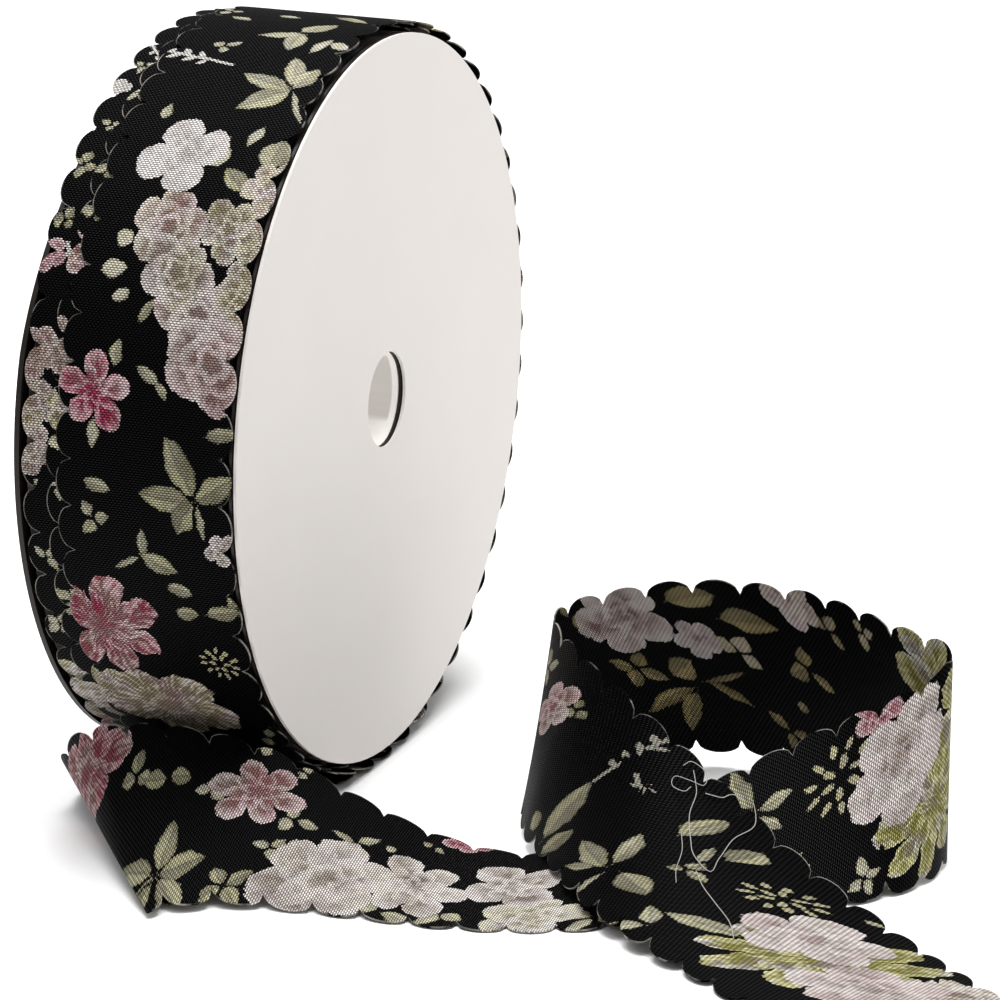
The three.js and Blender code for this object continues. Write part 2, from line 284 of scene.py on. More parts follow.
# Second turn, of which the left edge shows beside the outermost one
SECOND_CHART = [
    twig(16, 4, 9, 2.0, 0.02, 10),
    leaves(30, 2, 3.6, 4, 1.1, 0, 0.8, 0.9),
    leaves(46.7, 2.2, 4.2, 4, 1.5, 0, 0.9, 0.5),
    leaves(56, 2.8, 3.2, 3, 1.3, 40, 0.9, 0.6),
    blossom(63.5, 1.5, 3.8, 5, 0.4, 0.6, 0.1, 0.3),
    leaves(71, 4.5, 2.6, 3, 0.9, 80, 0.8, 0.8),
    blossom(79.5, 2.2, 5.2, 5, 0.35, 0.3, 0.1, 0.6),
    blossom(92, 2.0, 5.5, 5, 0.45, 0.15, 0.4, 0.3),
    leaves(104, 2.6, 3.0, 3, 0.9, 120, 0.9, 0.9),
    leaves(126, 3, 4.5, 4, 1.4, 20, 0.8, 0.6),
    twig(138, 3, 8, 1.6, 0.05, 60),
    blossom(152, 4, 6.5, 5, 0.45, 0.1, 0.3, 0.2),
]

# Third turn, the one furthest left
THIRD_CHART = [
    twig(15, 1, 9, 2.0, 0.02, 40),
    leaves(22, 3.0, 2.6, 3, 0.8, 0, 0.8, 1.0),
    blossom(28.8, 1.2, 2.4, 4, 0.4, 0.0, 0.0, 0.05),
    leaves(38, 4, 2.2, 3, 0.7, 0, 0.8, 1.0),
    leaves(47, 2.4, 4.0, 4, 1.3, 30, 0.9, 0.5),
    leaves(58, 2.5, 2.8, 3, 1.2, 40, 0.9, 0.4),
    blossom(64.5, 0.8, 3.4, 5, 0.3, 0.9, 0.0, 0.5),
    twig(62, 4, 5, 1.4, 0.02, 20),
    blossom(81.5, 1.6, 4.6, 5, 0.3, 0.35, 0.1, 0.7),
    blossom(90, 1.6, 4.8, 5, 0.3, 0.2, 0.25, 0.7),
    blossom(98, 1.6, 4.4, 5, 0.35, 0.2, 0.1, 0.6),
    leaves(104, 3, 1.6, 3, 0.7, 0, 0.7, 0.9),
    leaves(118, 3, 3.5, 4, 1.0, 0, 0.7, 0.9),
    leaves(132, 3, 3.5, 4, 1.2, 0, 0.8, 0.8),
    blossom(146, 3, 5.5, 5, 0.35, 0.05, 0.5, 0.2),
    blossom(155, 2, 5.0, 5, 0.35, 0.1, 0.4, 0.2),
]

# Loose end. along runs from where the ribbon leaves the roll, across from its low edge.
LOOSE_CHART = [
    blossom(44, 27, 9.5, 5, 0.4, 0.95, 0.05, 0.7, 20),
    leaves(57.5, 24, 5.0, 3, 1.7, 100, 1.0, 0.35),
    leaves(64, 23.5, 4.6, 2, 2.0, 95, 1.0, 0.3),
    leaves(69, 5.5, 11.5, 5, 2.4, 25, 1.0, 0.35, 1.0),
    leaves(82, 3.5, 5.0, 4, 1.8, 0, 0.8, 0.35),
    blossom(80, 23.5, 7.8, 6, 0.6, 0.55, 0.05, 0.35, 0),
    leaves(72.5, 22.5, 4.2, 3, 1.2, 200, 0.9, 0.8),
    leaves(88, 20, 4.2, 3, 1.5, 0, 0.8, 0.6),
    leaves(77, 32, 3.2, 3, 1.1, 60, 0.9, 0.95),
    leaves(86, 32, 3.4, 3, 1.2, 0, 0.9, 0.7),
    leaves(86.5, 12.5, 4.4, 3, 1.1, 60, 0.9, 0.7),
    blossom(97, 8, 11.5, 6, 0.3, 0.12, 0.1, 0.1, 25),
    blossom(112, 12.5, 9.5, 6, 0.5, 0.12, 0.1, 0.12, 0),
    leaves(109, 2.5, 7.5, 4, 2.0, 30, 0.9, 0.6),
    leaves(119, 5.5, 6.5, 4, 1.9, 10, 0.9, 0.6),
    leaves(99, 20, 4.8, 3, 1.1, 50, 1.0, 0.7),
    leaves(106, 21.5, 3.6, 2, 1.1, 60, 1.0, 0.7),
    leaves(110.5, 28, 3.2, 2, 1.2, 60, 1.0, 0.5),
    blossom(115, 33.5, 4.0, 5, 0.4, 0.9, 0.0, 0.5),
    blossom(127, 18.5, 9.0, 4, 0.55, 0.1, 0.05, 0.15, 40),
    blossom(133, 6, 8.0, 5, 0.4, 0.05, 0.3, 0.15, 10),
    leaves(144, 5, 8, 4, 2.0, 15, 0.9, 0.7),
    leaves(139, 30, 6, 4, 2.2, 0, 0.9, 0.35),
    leaves(153, 6, 6, 3, 1.6, 40, 0.9, 0.7),
    leaves(156.5, 28, 5.6, 3, 1.9, 10, 0.7, 0.4),
    leaf(165.5, 28.0, 10.0, 1.8, 120, 0.4),
    leaf(172.8, 24.6, 8.0, 1.4, 20, 0.5),
    leaf(171.0, 19.5, 7.0, 0.9, -30, 0.5),
    leaf(163.5, 20.5, 7.5, 1.6, -110, 0.4),
    leaves(158, 18, 3.6, 4, 1.3, 0, 0.7, 0.4),
    seeds(184, 23.5, 5.6, 1.1),
    seeds(174, 7, 5.2, 1.0),
    blossom(205.0, 13.0, 12.5, 9, 0.62, 0.0, 1.0, 0.6, 30),
    blossom(213.0, 26.0, 10.5, 7, 0.5, 0.0, 1.0, 0.5, 0),
    blossom(195.5, 22.5, 10.4, 5, 0.35, 0.2, 0.05, 0.07, 0),
    blossom(189.5, 32.5, 4.6, 5, 0.45, 0.9, 0.0, 0.3),
    leaves(191, 4, 4.5, 4, 1.1, 70, 0.9, 0.8),
    leaves(228, 6, 5.0, 3, 1.5, 0, 0.9, 0.5),
    leaves(231.5, 30, 3.4, 3, 1.2, 50, 0.8, 0.8),
    leaves(241.5, 27.5, 4.2, 4, 1.3, 0, 0.6, 0.5),
    blossom(247, 32, 5.4, 5, 0.4, 0.35, 0.1, 0.15),
    leaves(251, 19, 5.0, 3, 1.7, 100, 0.9, 0.3),
    leaves(256.5, 12.5, 3.6, 4, 1.1, 90, 0.6, 0.3),
    leaf(258.8, 25.9, 9.5, 2.0, 185, 0.3),
    leaf(265.3, 30.5, 9.5, 2.1, 175, 0.3),
    blossom(269.8, 22.5, 3.9, 5, 0.45, 0.3, 0.0, 0.1),
    leaves(264, 20, 4.2, 4, 2.0, 0, 0.7, 0.95),
    leaf(282.6, 10.2, 13.0, 1.4, -24, 0.2),
    leaf(279.6, 8.0, 10.5, 1.2, -52, 0.2),
    leaf(270.9, 11.6, 6.8, 1.2, -140, 0.2),
    leaf(276.4, 17.2, 5.4, 2.1, 150, 0.25),
    leaf(269.5, 15.4, 9.5, 0.45, 166, 0.3),
    leaves(263.5, 6.0, 4.2, 3, 1.3, 60, 0.9, 0.2),
    leaves(283.6, 18, 5.2, 4, 1.6, 80, 0.85, 0.25),
    blossom(280, 28.5, 8.2, 5, 0.4, 0.3, 0.05, 0.15, 0),
    leaves(289.5, 31, 5.5, 3, 2.0, 90, 0.9, 0.3),
    blossom(301, 15, 5.0, 5, 0.45, 0.4, 0.0, 0.2),
    leaves(306, 26, 5.0, 4, 1.6, 0, 0.8, 0.6),
    blossom(318, 22, 6.5, 5, 0.45, 0.6, 0.1, 0.3),
    leaves(324, 25.5, 3.6, 3, 1.3, 0, 0.8, 0.3),
    twig(343.6, 17.6, 16.5, 2.7, 0.004, 109, 0.35),
    twig(345.0, 24.2, 9.0, 2.2, 0.05, -29, 0.35),
    leaf(347.5, 9.0, 15.0, 2.3, 117, 0.35),
    leaf(354.0, 5.0, 9.0, 1.9, 95, 0.35),
    leaf(342.0, 4.5, 8.0, 1.6, 150, 0.35),
    leaf(363.6, 8.6, 11.0, 1.8, 175, 0.4),
    leaf(364.8, 12.8, 11.5, 1.4, 135, 0.45),
    leaf(376.6, 8.4, 9.0, 2.4, -3, 0.35),
    leaf(366.0, 4.8, 5.4, 1.1, 220, 0.4),
    leaf(373.0, 3.4, 8.0, 0.5, -60, 0.7),
    leaf(361.2, 25.0, 9.5, 2.0, 118, 0.4),
    leaf(368.4, 25.8, 7.5, 1.5, -60, 0.4),
    leaf(369.0, 21.8, 7.0, 0.5, 140, 0.8),
    leaves(373.6, 17.1, 3.8, 3, 1.2, 0, 1.0, 0.4),
    seeds(381, 24.4, 3.9, 0.85),
    blossom(403.0, 18.5, 14.0, 9, 0.6, 0.0, 1.0, 0.6, 0),
    blossom(394.5, 21.5, 8.8, 5, 0.4, 0.25, 0.05, 0.08, 0),
    blossom(414.0, 19.0, 9.8, 5, 0.4, 0.3, 0.05, 0.08, 20),
    leaf(392.0, 10.5, 9.0, 2.0, -150, 0.5),
    leaves(384, 31.5, 4.0, 3, 1.0, 30, 0.8, 0.8),
    leaves(391, 4.5, 7.0, 4, 1.8, 200, 0.8, 0.6),
    blossom(416, 29, 8.0, 6, 0.4, 0.2, 0.2, 0.15, 0),
    leaves(428, 22, 8, 5, 2.2, 0, 0.9, 0.6),
    blossom(438, 10, 9.0, 6, 0.4, 0.1, 0.2, 0.15, 0),
]


def scatter(start: float, end: float, width: float, seed: int) -> list[Motif]:
    """Fills a stretch of ribbon that the photograph doesn't show with mixed motifs.

    Args:
        start: where the stretch begins, in millimetres along the ribbon.
        end: where it ends.
        width: the ribbon's width in millimetres.
        seed: the seed of its own random draws.

    Returns:
        The motifs, about one for every five millimetres.
    """
    draw = random.Random(seed)
    made = []
    along = start
    while along < end:
        across = draw.uniform(2, width - 2)
        pick = draw.random()
        turn = draw.uniform(0, 360)
        if pick < 0.16:
            made.append(blossom(along, across, draw.uniform(7, 12), draw.choice((5, 6, 7)), 0.4,
                                draw.uniform(0, 0.6), draw.uniform(0, 0.6), 0.2, turn))
        elif pick < 0.3:
            made.append(blossom(along, across, draw.uniform(4, 8), 5, 0.45, draw.uniform(0.1, 1), 0.1, 0.4, turn))
        elif pick < 0.72:
            made.append(leaves(along, across, draw.uniform(3.5, 9.5), draw.choice((3, 4, 5)),
                               draw.uniform(1.2, 2.4), turn, 0.85, draw.uniform(0.2, 0.8), 1.0))
        elif pick < 0.9:
            made.append(twig(along, across, draw.uniform(6, 14), 2.2, 0.02, turn))
        else:
            made.append(seeds(along, across, 4.5, 0.9))
        along += draw.uniform(4, 7)
    return made


# --- cloth finish --------------------------------------------------------------------------------


@dataclass(frozen=True)
class PrintedPolyester:
    """Black plain-woven polyester ribbon with transfer-printed flowers and heat-cut edges."""

    name: str
    ground: str = "030305"
    ground_high: str = "08080a"
    white: str = "ebe7e3"
    blush: str = "e5b2bb"
    grey: str = "8f857d"
    crimson: str = "93304c"
    olive: str = "8a8549"
    olive_dark: str = "55532f"
    pale_olive: str = "dfdaa6"
    leaf: str = "6d6845"
    leaf_high: str = "cbc696"
    cut_edge: str = "bdb8ae"
    # Pitch of the weft rows and of the light dashes that they show between the warp threads
    row_mm: float = 0.42
    dash_mm: float = 0.69
    dulling: float = 1.0

    def shape_of_blossom(self) -> bpy.types.NodeTree:
        """Returns the node group that draws a flower with three rings of petals."""
        group = MotifGroup("printed_flower")
        add = group.add
        x, y, seed = group.spot(0.24, add("SeparateXYZ", [group.form], 2))
        petals, depth, radius = group.parts(group.form)
        pink, olive, streak = group.parts(group.tint)
        cloud_a, cloud_b, cloud_c = group.parts(group.cloud)
        angle = add("Math", [y, x], operation="ARCTAN2")
        flat = add("CombineXYZ", [x, y])
        share = add("Math", [add("VectorMath", [flat], "Value", operation="LENGTH"), radius], operation="DIVIDE")
        half = add("Math", [add("Math", [angle, petals], operation="MULTIPLY"), 0.5], operation="MULTIPLY")
        lean = add("Math", [add("Math", [angle, 2.0, seed], operation="MULTIPLY_ADD")], operation="SINE")
        lean = add("Math", [lean, 0.09, 1.0], operation="MULTIPLY_ADD")
        light, inside = None, None
        for ring, (scale, phase) in enumerate(((1.0, 0.0), (0.66, 1.9), (0.36, 0.7))):
            petal = add("Math", [add("Math", [half, phase], operation="ADD")], operation="COSINE")
            petal = add("Math", [petal], operation="ABSOLUTE")
            rim = add("Math", [add("Math", [petal, 0.5], operation="POWER"), 1.0], operation="SUBTRACT")
            rim = add("Math", [add("Math", [rim, depth, 1.0], operation="MULTIPLY_ADD"), lean],
                      operation="MULTIPLY")
            rim = add("Math", [rim, scale], operation="MULTIPLY")
            within = add("Math", [add("Math", [rim, share], operation="SUBTRACT"), radius], operation="MULTIPLY")
            fade = add("Math", [add("Math", [rim, share], operation="SUBTRACT"), -2.3 / scale, 1.0],
                       operation="MULTIPLY_ADD", use_clamp=True)
            fade = add("Math", [fade, 0.75 - 0.2 * ring], operation="POWER")
            if light is None:
                light, inside = fade, within
                continue
            over_it = add("Math", [within, 3.0, 0.5], operation="MULTIPLY_ADD", use_clamp=True)
            light = add("Mix", {0: over_it, 2: light, 3: fade}, 0, data_type="FLOAT")
        # A plain flower's petals hardly shade one another. Then watery patches, and veins outwards.
        soft = add("Math", [streak, 2.6, 0.3], operation="MULTIPLY_ADD", use_clamp=True)
        light = add("Math", [add("Math", [light, 1.0], operation="SUBTRACT"), soft, 1.0], operation="MULTIPLY_ADD")
        light = add("Math", [add("Math", [cloud_a, 0.52], operation="SUBTRACT"), 2.2, light],
                    operation="MULTIPLY_ADD")
        vein = add("Math", [angle, 31.0, add("Math", [cloud_b, 22.0], operation="MULTIPLY")],
                   operation="MULTIPLY_ADD")
        vein = add("Math", [add("Math", [vein], operation="SINE"), 0.5, 0.5], operation="MULTIPLY_ADD")
        vein = add("Math", [vein, streak], operation="MULTIPLY")
        light = add("Math", [vein, -0.9, light], operation="MULTIPLY_ADD", use_clamp=True)
        green = add("MapRange", {0: cloud_b, 1: 0.62, 2: 0.42})
        green = add("Math", [green, add("Math", [olive, 1.6], operation="MULTIPLY")], operation="MULTIPLY",
                    use_clamp=True)
        blush = add("MapRange", {0: cloud_c, 1: 0.35, 2: 0.6, 3: 0.4, 4: 1.0})
        blush = add("Math", [blush, pink], operation="MULTIPLY", use_clamp=True)
        deep = add("Mix", {0: blush, 6: linear(self.grey), 7: linear(self.crimson)}, 2, data_type="RGBA")
        deep = add("Mix", {0: green, 6: deep, 7: linear(self.olive)}, 2, data_type="RGBA")
        high = add("Mix", {0: blush, 6: linear(self.white), 7: linear(self.blush)}, 2, data_type="RGBA")
        high = add("Mix", {0: green, 6: high, 7: linear(self.pale_olive)}, 2, data_type="RGBA")
        tone = add("Mix", {0: light, 6: deep, 7: high}, 2, data_type="RGBA")
        return group.finish(inside, tone)

    def shape_of_leaves(self) -> bpy.types.NodeTree:
        """Returns the node group that draws one whorl of slightly bent leaves."""
        group = MotifGroup("printed_leaves")
        add = group.add
        x, y, seed = group.spot(1.5)
        length, count, width = group.parts(group.form)
        pale, stem, keep = group.parts(group.tint)
        cloud_a, cloud_b, _ = group.parts(group.cloud)
        angle = add("Math", [y, x], operation="ARCTAN2")
        radius = add("VectorMath", [add("CombineXYZ", [x, y])], "Value", operation="LENGTH")
        part = add("Math", [angle, 1 / (2 * math.pi), 0.5], operation="MULTIPLY_ADD")
        which = add("Math", [add("Math", [part, count], operation="MULTIPLY")], operation="FLOOR")
        draw = add("TexWhiteNoise", {"Vector": add("CombineXYZ", [which, seed])}, "Color",
                   noise_dimensions="3D")
        luck, size, tilt = group.parts(draw)
        middle = add("Math", [add("Math", [which, 0.5], operation="ADD"), count], operation="DIVIDE")
        middle = add("Math", [middle, 2 * math.pi, -math.pi], operation="MULTIPLY_ADD")
        spread = add("Math", [tilt, 0.5], operation="SUBTRACT")
        middle = add("Math", [spread, 0.5, middle], operation="MULTIPLY_ADD")
        off = add("Math", [angle, middle], operation="SUBTRACT")
        ahead = add("Math", [radius, add("Math", [off], operation="COSINE")], operation="MULTIPLY")
        beside = add("Math", [radius, add("Math", [off], operation="SINE")], operation="MULTIPLY")
        bow = add("Math", [add("Math", [ahead, ahead], operation="MULTIPLY"), length], operation="DIVIDE")
        bow = add("Math", [bow, add("Math", [spread, -0.45], operation="MULTIPLY")], operation="MULTIPLY")
        side = add("Math", [beside, bow], operation="SUBTRACT")
        beside = add("Math", [side], operation="ABSOLUTE")
        own = add("Math", [add("Math", [size, 0.4, 0.62], operation="MULTIPLY_ADD"), length], operation="MULTIPLY")
        stalk = add("Math", [own, 0.12], operation="MULTIPLY")
        share = add("MapRange", {0: ahead, 1: stalk, 2: own})
        share = add("Math", [share, 0.85], operation="POWER")
        swell = add("Math", [share, add("Math", [1.0, share], operation="SUBTRACT")], operation="MULTIPLY")
        half = add("Math", [add("Math", [luck, 1.3, 2.6], operation="MULTIPLY_ADD"), width], operation="MULTIPLY")
        half = add("Math", [half, swell], operation="MULTIPLY")
        inner = add("Math", [half, beside], operation="SUBTRACT")
        past = add("Math", [add("Math", [ahead, own], operation="SUBTRACT"), 0.0], operation="MAXIMUM")
        inner = add("Math", [past, -2.0, inner], operation="MULTIPLY_ADD")
        shown = add("Math", [luck, keep], operation="GREATER_THAN")
        front = add("Math", [ahead, 0.35], operation="LESS_THAN")
        hidden = add("Math", [shown, front], operation="MAXIMUM")
        inner = add("Math", [hidden, -9.0, inner], operation="MULTIPLY_ADD")
        curl = add("Math", [add("Math", [x, x], operation="MULTIPLY"), 0.05, y], operation="MULTIPLY_ADD")
        line = add("Math", [0.24, add("Math", [curl], operation="ABSOLUTE")], operation="SUBTRACT")
        far = add("Math", [add("Math", [length, -0.85], operation="MULTIPLY"), x], operation="GREATER_THAN")
        wrong = add("Math", [add("Math", [x, -0.2], operation="GREATER_THAN"), far], operation="MAXIMUM")
        wrong = add("Math", [wrong, add("Math", [stem, 0.5], operation="LESS_THAN")], operation="MAXIMUM")
        line = add("Math", [wrong, -9.0, line], operation="MULTIPLY_ADD")
        inside = add("Math", [inner, line], operation="MAXIMUM")
        # One half of each leaf is lighter, and the rib between them is dark.
        light = add("Math", [cloud_a, 1.5, pale], operation="MULTIPLY_ADD")
        light = add("Math", [light, add("MapRange", {0: side, 1: -0.3, 2: 0.3, 3: 0.95, 4: 0.5})],
                    operation="SUBTRACT", use_clamp=True)
        rib = add("MapRange", {0: beside, 1: 0.3, 2: 0.08, 3: 0.0, 4: 0.45})
        light = add("Math", [light, rib], operation="SUBTRACT", use_clamp=True)
        tone = add("Mix", {0: light, 6: linear(self.leaf), 7: linear(self.leaf_high)}, 2, data_type="RGBA")
        pale_wash = add("Math", [cloud_b, add("Math", [pale, 0.9], operation="MULTIPLY")], operation="MULTIPLY")
        tone = add("Mix", {0: pale_wash, 6: tone, 7: linear(self.white)}, 2, data_type="RGBA")
        border = add("MapRange", {0: inside, 1: 0.5, 2: 0.05, 3: 0.0, 4: 0.4})
        tone = add("Mix", {0: border, 6: tone, 7: linear(self.olive_dark)}, 2, data_type="RGBA")
        return group.finish(inside, tone)

    def shape_of_twig(self) -> bpy.types.NodeTree:
        """Returns the node group that draws one thin twig with small leaves."""
        group = MotifGroup("printed_twig")
        add = group.add
        x, y, _ = group.spot(0.6)
        length, leaf, bend = group.parts(group.form)
        curve = add("Math", [add("Math", [x, x], operation="MULTIPLY"), bend], operation="MULTIPLY")
        y = add("Math", [y, curve], operation="SUBTRACT")
        side = add("Math", [y, 0.0], operation="GREATER_THAN")
        away = add("Math", [y], operation="ABSOLUTE")
        step = add("Math", [leaf, 1.15], operation="MULTIPLY")
        shifted = add("Math", [side, add("Math", [step, 0.5], operation="MULTIPLY"), x], operation="MULTIPLY_ADD")
        cell = add("Math", [shifted, step], operation="FLOORED_MODULO")
        forward = add("Math", [add("Math", [cell, away], operation="ADD"), math.sqrt(0.5)], operation="MULTIPLY")
        past = add("Math", [add("Math", [forward, leaf], operation="SUBTRACT"), 0.0], operation="MAXIMUM")
        forward = add("Math", [forward, leaf], operation="DIVIDE", use_clamp=True)
        beside = add("Math", [add("Math", [away, cell], operation="SUBTRACT"), math.sqrt(0.5)],
                     operation="MULTIPLY")
        beside = add("Math", [beside], operation="ABSOLUTE")
        swell = add("Math", [forward, add("Math", [1.0, forward], operation="SUBTRACT")], operation="MULTIPLY")
        blade = add("Math", [add("Math", [swell, leaf], operation="MULTIPLY"), 0.8], operation="MULTIPLY")
        blade = add("Math", [blade, beside], operation="SUBTRACT")
        blade = add("Math", [past, -2.0, blade], operation="MULTIPLY_ADD")
        started = add("Math", [x, add("Math", [length, 0.3], operation="MULTIPLY")], operation="LESS_THAN")
        blade = add("Math", [started, -9.0, blade], operation="MULTIPLY_ADD")
        stem = add("Math", [0.3, away], operation="SUBTRACT")
        inside = add("Math", [blade, stem], operation="MAXIMUM")
        inside = add("Math", [inside, x], operation="MINIMUM")
        inside = add("Math", [inside, add("Math", [length, x], operation="SUBTRACT")], operation="MINIMUM")
        pale = add("SeparateXYZ", [group.tint], 0)
        tone = add("Mix", {0: pale, 6: linear(self.leaf), 7: linear(self.white)}, 2, data_type="RGBA")
        return group.finish(inside, tone)

    def shape_of_seeds(self) -> bpy.types.NodeTree:
        """Returns the node group that draws two rings of pale ovals."""
        group = MotifGroup("printed_seeds")
        add = group.add
        x, y, _ = group.spot(1.6)
        wide, size, _ = group.parts(group.form)
        angle = add("Math", [y, x], operation="ARCTAN2")
        radius = add("VectorMath", [add("CombineXYZ", [x, y])], "Value", operation="LENGTH")
        inside = None
        for ring, number in ((1.0, 11.0), (0.5, 6.0)):
            turns = add("Math", [angle, number / (2 * math.pi)], operation="MULTIPLY")
            local = add("Math", [turns, 1.0], operation="FLOORED_MODULO")
            local = add("Math", [local, 0.5], operation="SUBTRACT")
            sideways = add("Math", [add("Math", [local, 2 * math.pi / number], operation="MULTIPLY"), radius],
                           operation="MULTIPLY")
            sideways = add("Math", [sideways, add("Math", [size, 0.55], operation="MULTIPLY")],
                           operation="DIVIDE")
            outward = add("Math", [wide, -ring, radius], operation="MULTIPLY_ADD")
            outward = add("Math", [outward, size], operation="DIVIDE")
            apart = add("VectorMath", [add("CombineXYZ", [sideways, outward])], "Value", operation="LENGTH")
            oval = add("Math", [add("Math", [1.0, apart], operation="SUBTRACT"), 0.7], operation="MULTIPLY")
            inside = oval if inside is None else add("Math", [inside, oval], operation="MAXIMUM")
        tone = add("Mix", {0: add("SeparateXYZ", [group.cloud], 1), 6: linear(self.grey),
                           7: linear(self.pale_olive)}, 2, data_type="RGBA")
        return group.finish(inside, tone)

    def build(self) -> bpy.types.Material:
        """Returns the material: black cloth that shows its threads, with flowers and leaves dyed into it."""
        groups = {
            Kind.TWIG: self.shape_of_twig(),
            Kind.LEAVES: self.shape_of_leaves(),
            Kind.SEEDS: self.shape_of_seeds(),
            Kind.BLOSSOM: self.shape_of_blossom(),
        }
        material, graph = new_material(self.name)
        add = graph.add
        cloth = add("Attribute", (), "Vector", attribute_name="cloth")
        along, across, edge = [add("SeparateXYZ", [cloth], at) for at in range(3)]
        # Plain weave: each weft row shows light dashes, set half a dash over from row to row.
        row = add("Math", [add("Math", [along, math.pi / self.row_mm], operation="MULTIPLY")],
                  operation="SINE")
        odd = add("Math", [row, 0.0], operation="GREATER_THAN")
        row = add("Math", [row], operation="ABSOLUTE")
        turned = add("Math", [across, math.pi / self.dash_mm, add("Math", [odd, math.pi / 2], operation="MULTIPLY")],
                     operation="MULTIPLY_ADD")
        dash = add("Math", [add("Math", [turned], operation="SINE")], operation="ABSOLUTE")
        thread = add("Math", [add("Math", [dash, 0.7, 0.3], operation="MULTIPLY_ADD"), row],
                     operation="MULTIPLY")
        wander = add("TexNoise", {"Vector": cloth, "Scale": 0.33, "Detail": 2.0, "Roughness": 0.6}, "Color")
        wander = add("VectorMath", [wander, (0.5, 0.5, 0.5)], operation="SUBTRACT")
        cloud = add("TexNoise", {"Vector": cloth, "Scale": 0.19, "Detail": 3.0, "Roughness": 0.6}, "Color")
        uneven = add("TexNoise", {"Vector": cloth, "Scale": 1.7, "Detail": 1.0})
        tone = add("Mix", {0: uneven, 6: linear(self.ground), 7: linear(self.ground_high)}, 2,
                   data_type="RGBA")
        # The print ends at threads, so the weave shifts its outlines by about half a thread.
        shift = add("Math", [thread, 0.34, -0.17], operation="MULTIPLY_ADD")
        printed = None
        for name, kind in LAYERS:
            holder = material.node_tree.nodes.new("ShaderNodeGroup")
            holder.node_tree = groups[kind]
            for at, part in enumerate(("place", "form", "tint")):
                found = add("Attribute", (), "Vector", attribute_name=f"{name}_{part}")
                material.node_tree.links.new(found, holder.inputs[at])
            material.node_tree.links.new(wander, holder.inputs[3])
            material.node_tree.links.new(cloud, holder.inputs[4])
            mask = add("Math", [holder.outputs[0], shift], operation="ADD")
            mask = add("Math", [mask, 7.0, 0.5], operation="MULTIPLY_ADD", use_clamp=True)
            tone = add("Mix", {0: mask, 6: tone, 7: holder.outputs[1]}, 2, data_type="RGBA")
            printed = mask if printed is None else add("Math", [printed, mask], operation="MAXIMUM")
        # Between the dashes of a printed motif the black warp shows as fine dark specks.
        speck = add("MapRange", {0: thread, 1: 0.22, 2: 0.95, 3: 0.14, 4: 1.22})
        speck = add("Math", [speck, add("MapRange", {0: uneven, 1: 0.3, 2: 0.7, 3: 0.78, 4: 1.05})],
                    operation="MULTIPLY")
        speck = add("Math", [speck, self.dulling], operation="MULTIPLY")
        tone = add("VectorMath", {0: tone, "Scale": speck}, operation="SCALE")
        # The hot knife leaves a thin pale, slightly ragged line along the scallops.
        ragged = add("MapRange", {0: add("SeparateXYZ", [cloud], 2), 1: 0.46, 2: 0.6})
        line = add("MapRange", {0: edge, 1: 0.2, 2: 0.08})
        line = add("Math", [line, add("Math", [ragged, 0.5], operation="MULTIPLY")], operation="MULTIPLY")
        tone = add("Mix", {0: line, 6: tone, 7: linear(self.cut_edge)}, 2, data_type="RGBA")
        bump = add("Bump", {"Strength": 0.6, "Distance": 0.14 * MM, "Height": thread})
        gloss = add("MapRange", {0: thread, 1: 0.3, 2: 1.0, 3: 0.0, 4: 0.08})
        shader = add("BsdfPrincipled", {"Base Color": tone, "Roughness": 0.42, "Normal": bump, "IOR": 1.54,
                                        "Specular IOR Level": gloss})
        graph.add("OutputMaterial", {"Surface": shader})
        return material


class MotifGroup(Graph):
    """A node group that draws one kind of motif: how far inside it a place lies, and its colour."""

    def __init__(self, name: str) -> None:
        """Makes the empty group.

        Args:
            name: the group's name.
        """
        super().__init__(bpy.data.node_groups.new(name, "ShaderNodeTree"))
        for label in ("Place", "Form", "Tint", "Wander", "Cloud"):
            self.tree.interface.new_socket(label, in_out="INPUT", socket_type="NodeSocketVector")
        self.tree.interface.new_socket("Inside", in_out="OUTPUT", socket_type="NodeSocketFloat")
        self.tree.interface.new_socket("Colour", in_out="OUTPUT", socket_type="NodeSocketColor")
        given = self.tree.nodes.new("NodeGroupInput").outputs
        self.place, self.form, self.tint, self.wander, self.cloud = given[0], given[1], given[2], given[3], given[4]

    def parts(self, vector: bpy.types.NodeSocket) -> list[bpy.types.NodeSocket]:
        """Returns a vector's three parts."""
        return [self.add("SeparateXYZ", [vector], at) for at in range(3)]

    def spot(self, sway: float, times: bpy.types.NodeSocket | None = None) -> list[bpy.types.NodeSocket]:
        """Finds the place in the motif, moved a little so that outlines aren't drawn with a ruler.

        Args:
            sway: how far places move, in millimetres, or as a share of the next value.
            times: a length that the sway is a share of.

        Returns:
            The place's x and y and the motif's whole-numbered seed.
        """
        amount = sway if times is None else self.add("Math", [times, sway], operation="MULTIPLY")
        moved = self.add("VectorMath", {0: self.wander, "Scale": amount}, operation="SCALE")
        moved = self.add("VectorMath", [self.place, moved], operation="ADD")
        seed = self.add("Math", [self.add("SeparateXYZ", [self.place], 2)], operation="ROUND")
        return [self.add("SeparateXYZ", [moved], 0), self.add("SeparateXYZ", [moved], 1), seed]

    def finish(self, inside: bpy.types.NodeSocket, colour: bpy.types.NodeSocket) -> bpy.types.NodeTree:
        """Returns the group with its outputs joined."""
        self.add("NodeGroupOutput", [inside, colour])
        return self.tree


def new_material(name: str) -> tuple[bpy.types.Material, Graph]:
    """Makes an empty material.

    Args:
        name: the material's name.

    Returns:
        The material and the graph that fills its tree.
    """
    material = bpy.data.materials.new(name)
    material.use_nodes = True
    material.node_tree.nodes.clear()
    return material, Graph(material.node_tree)


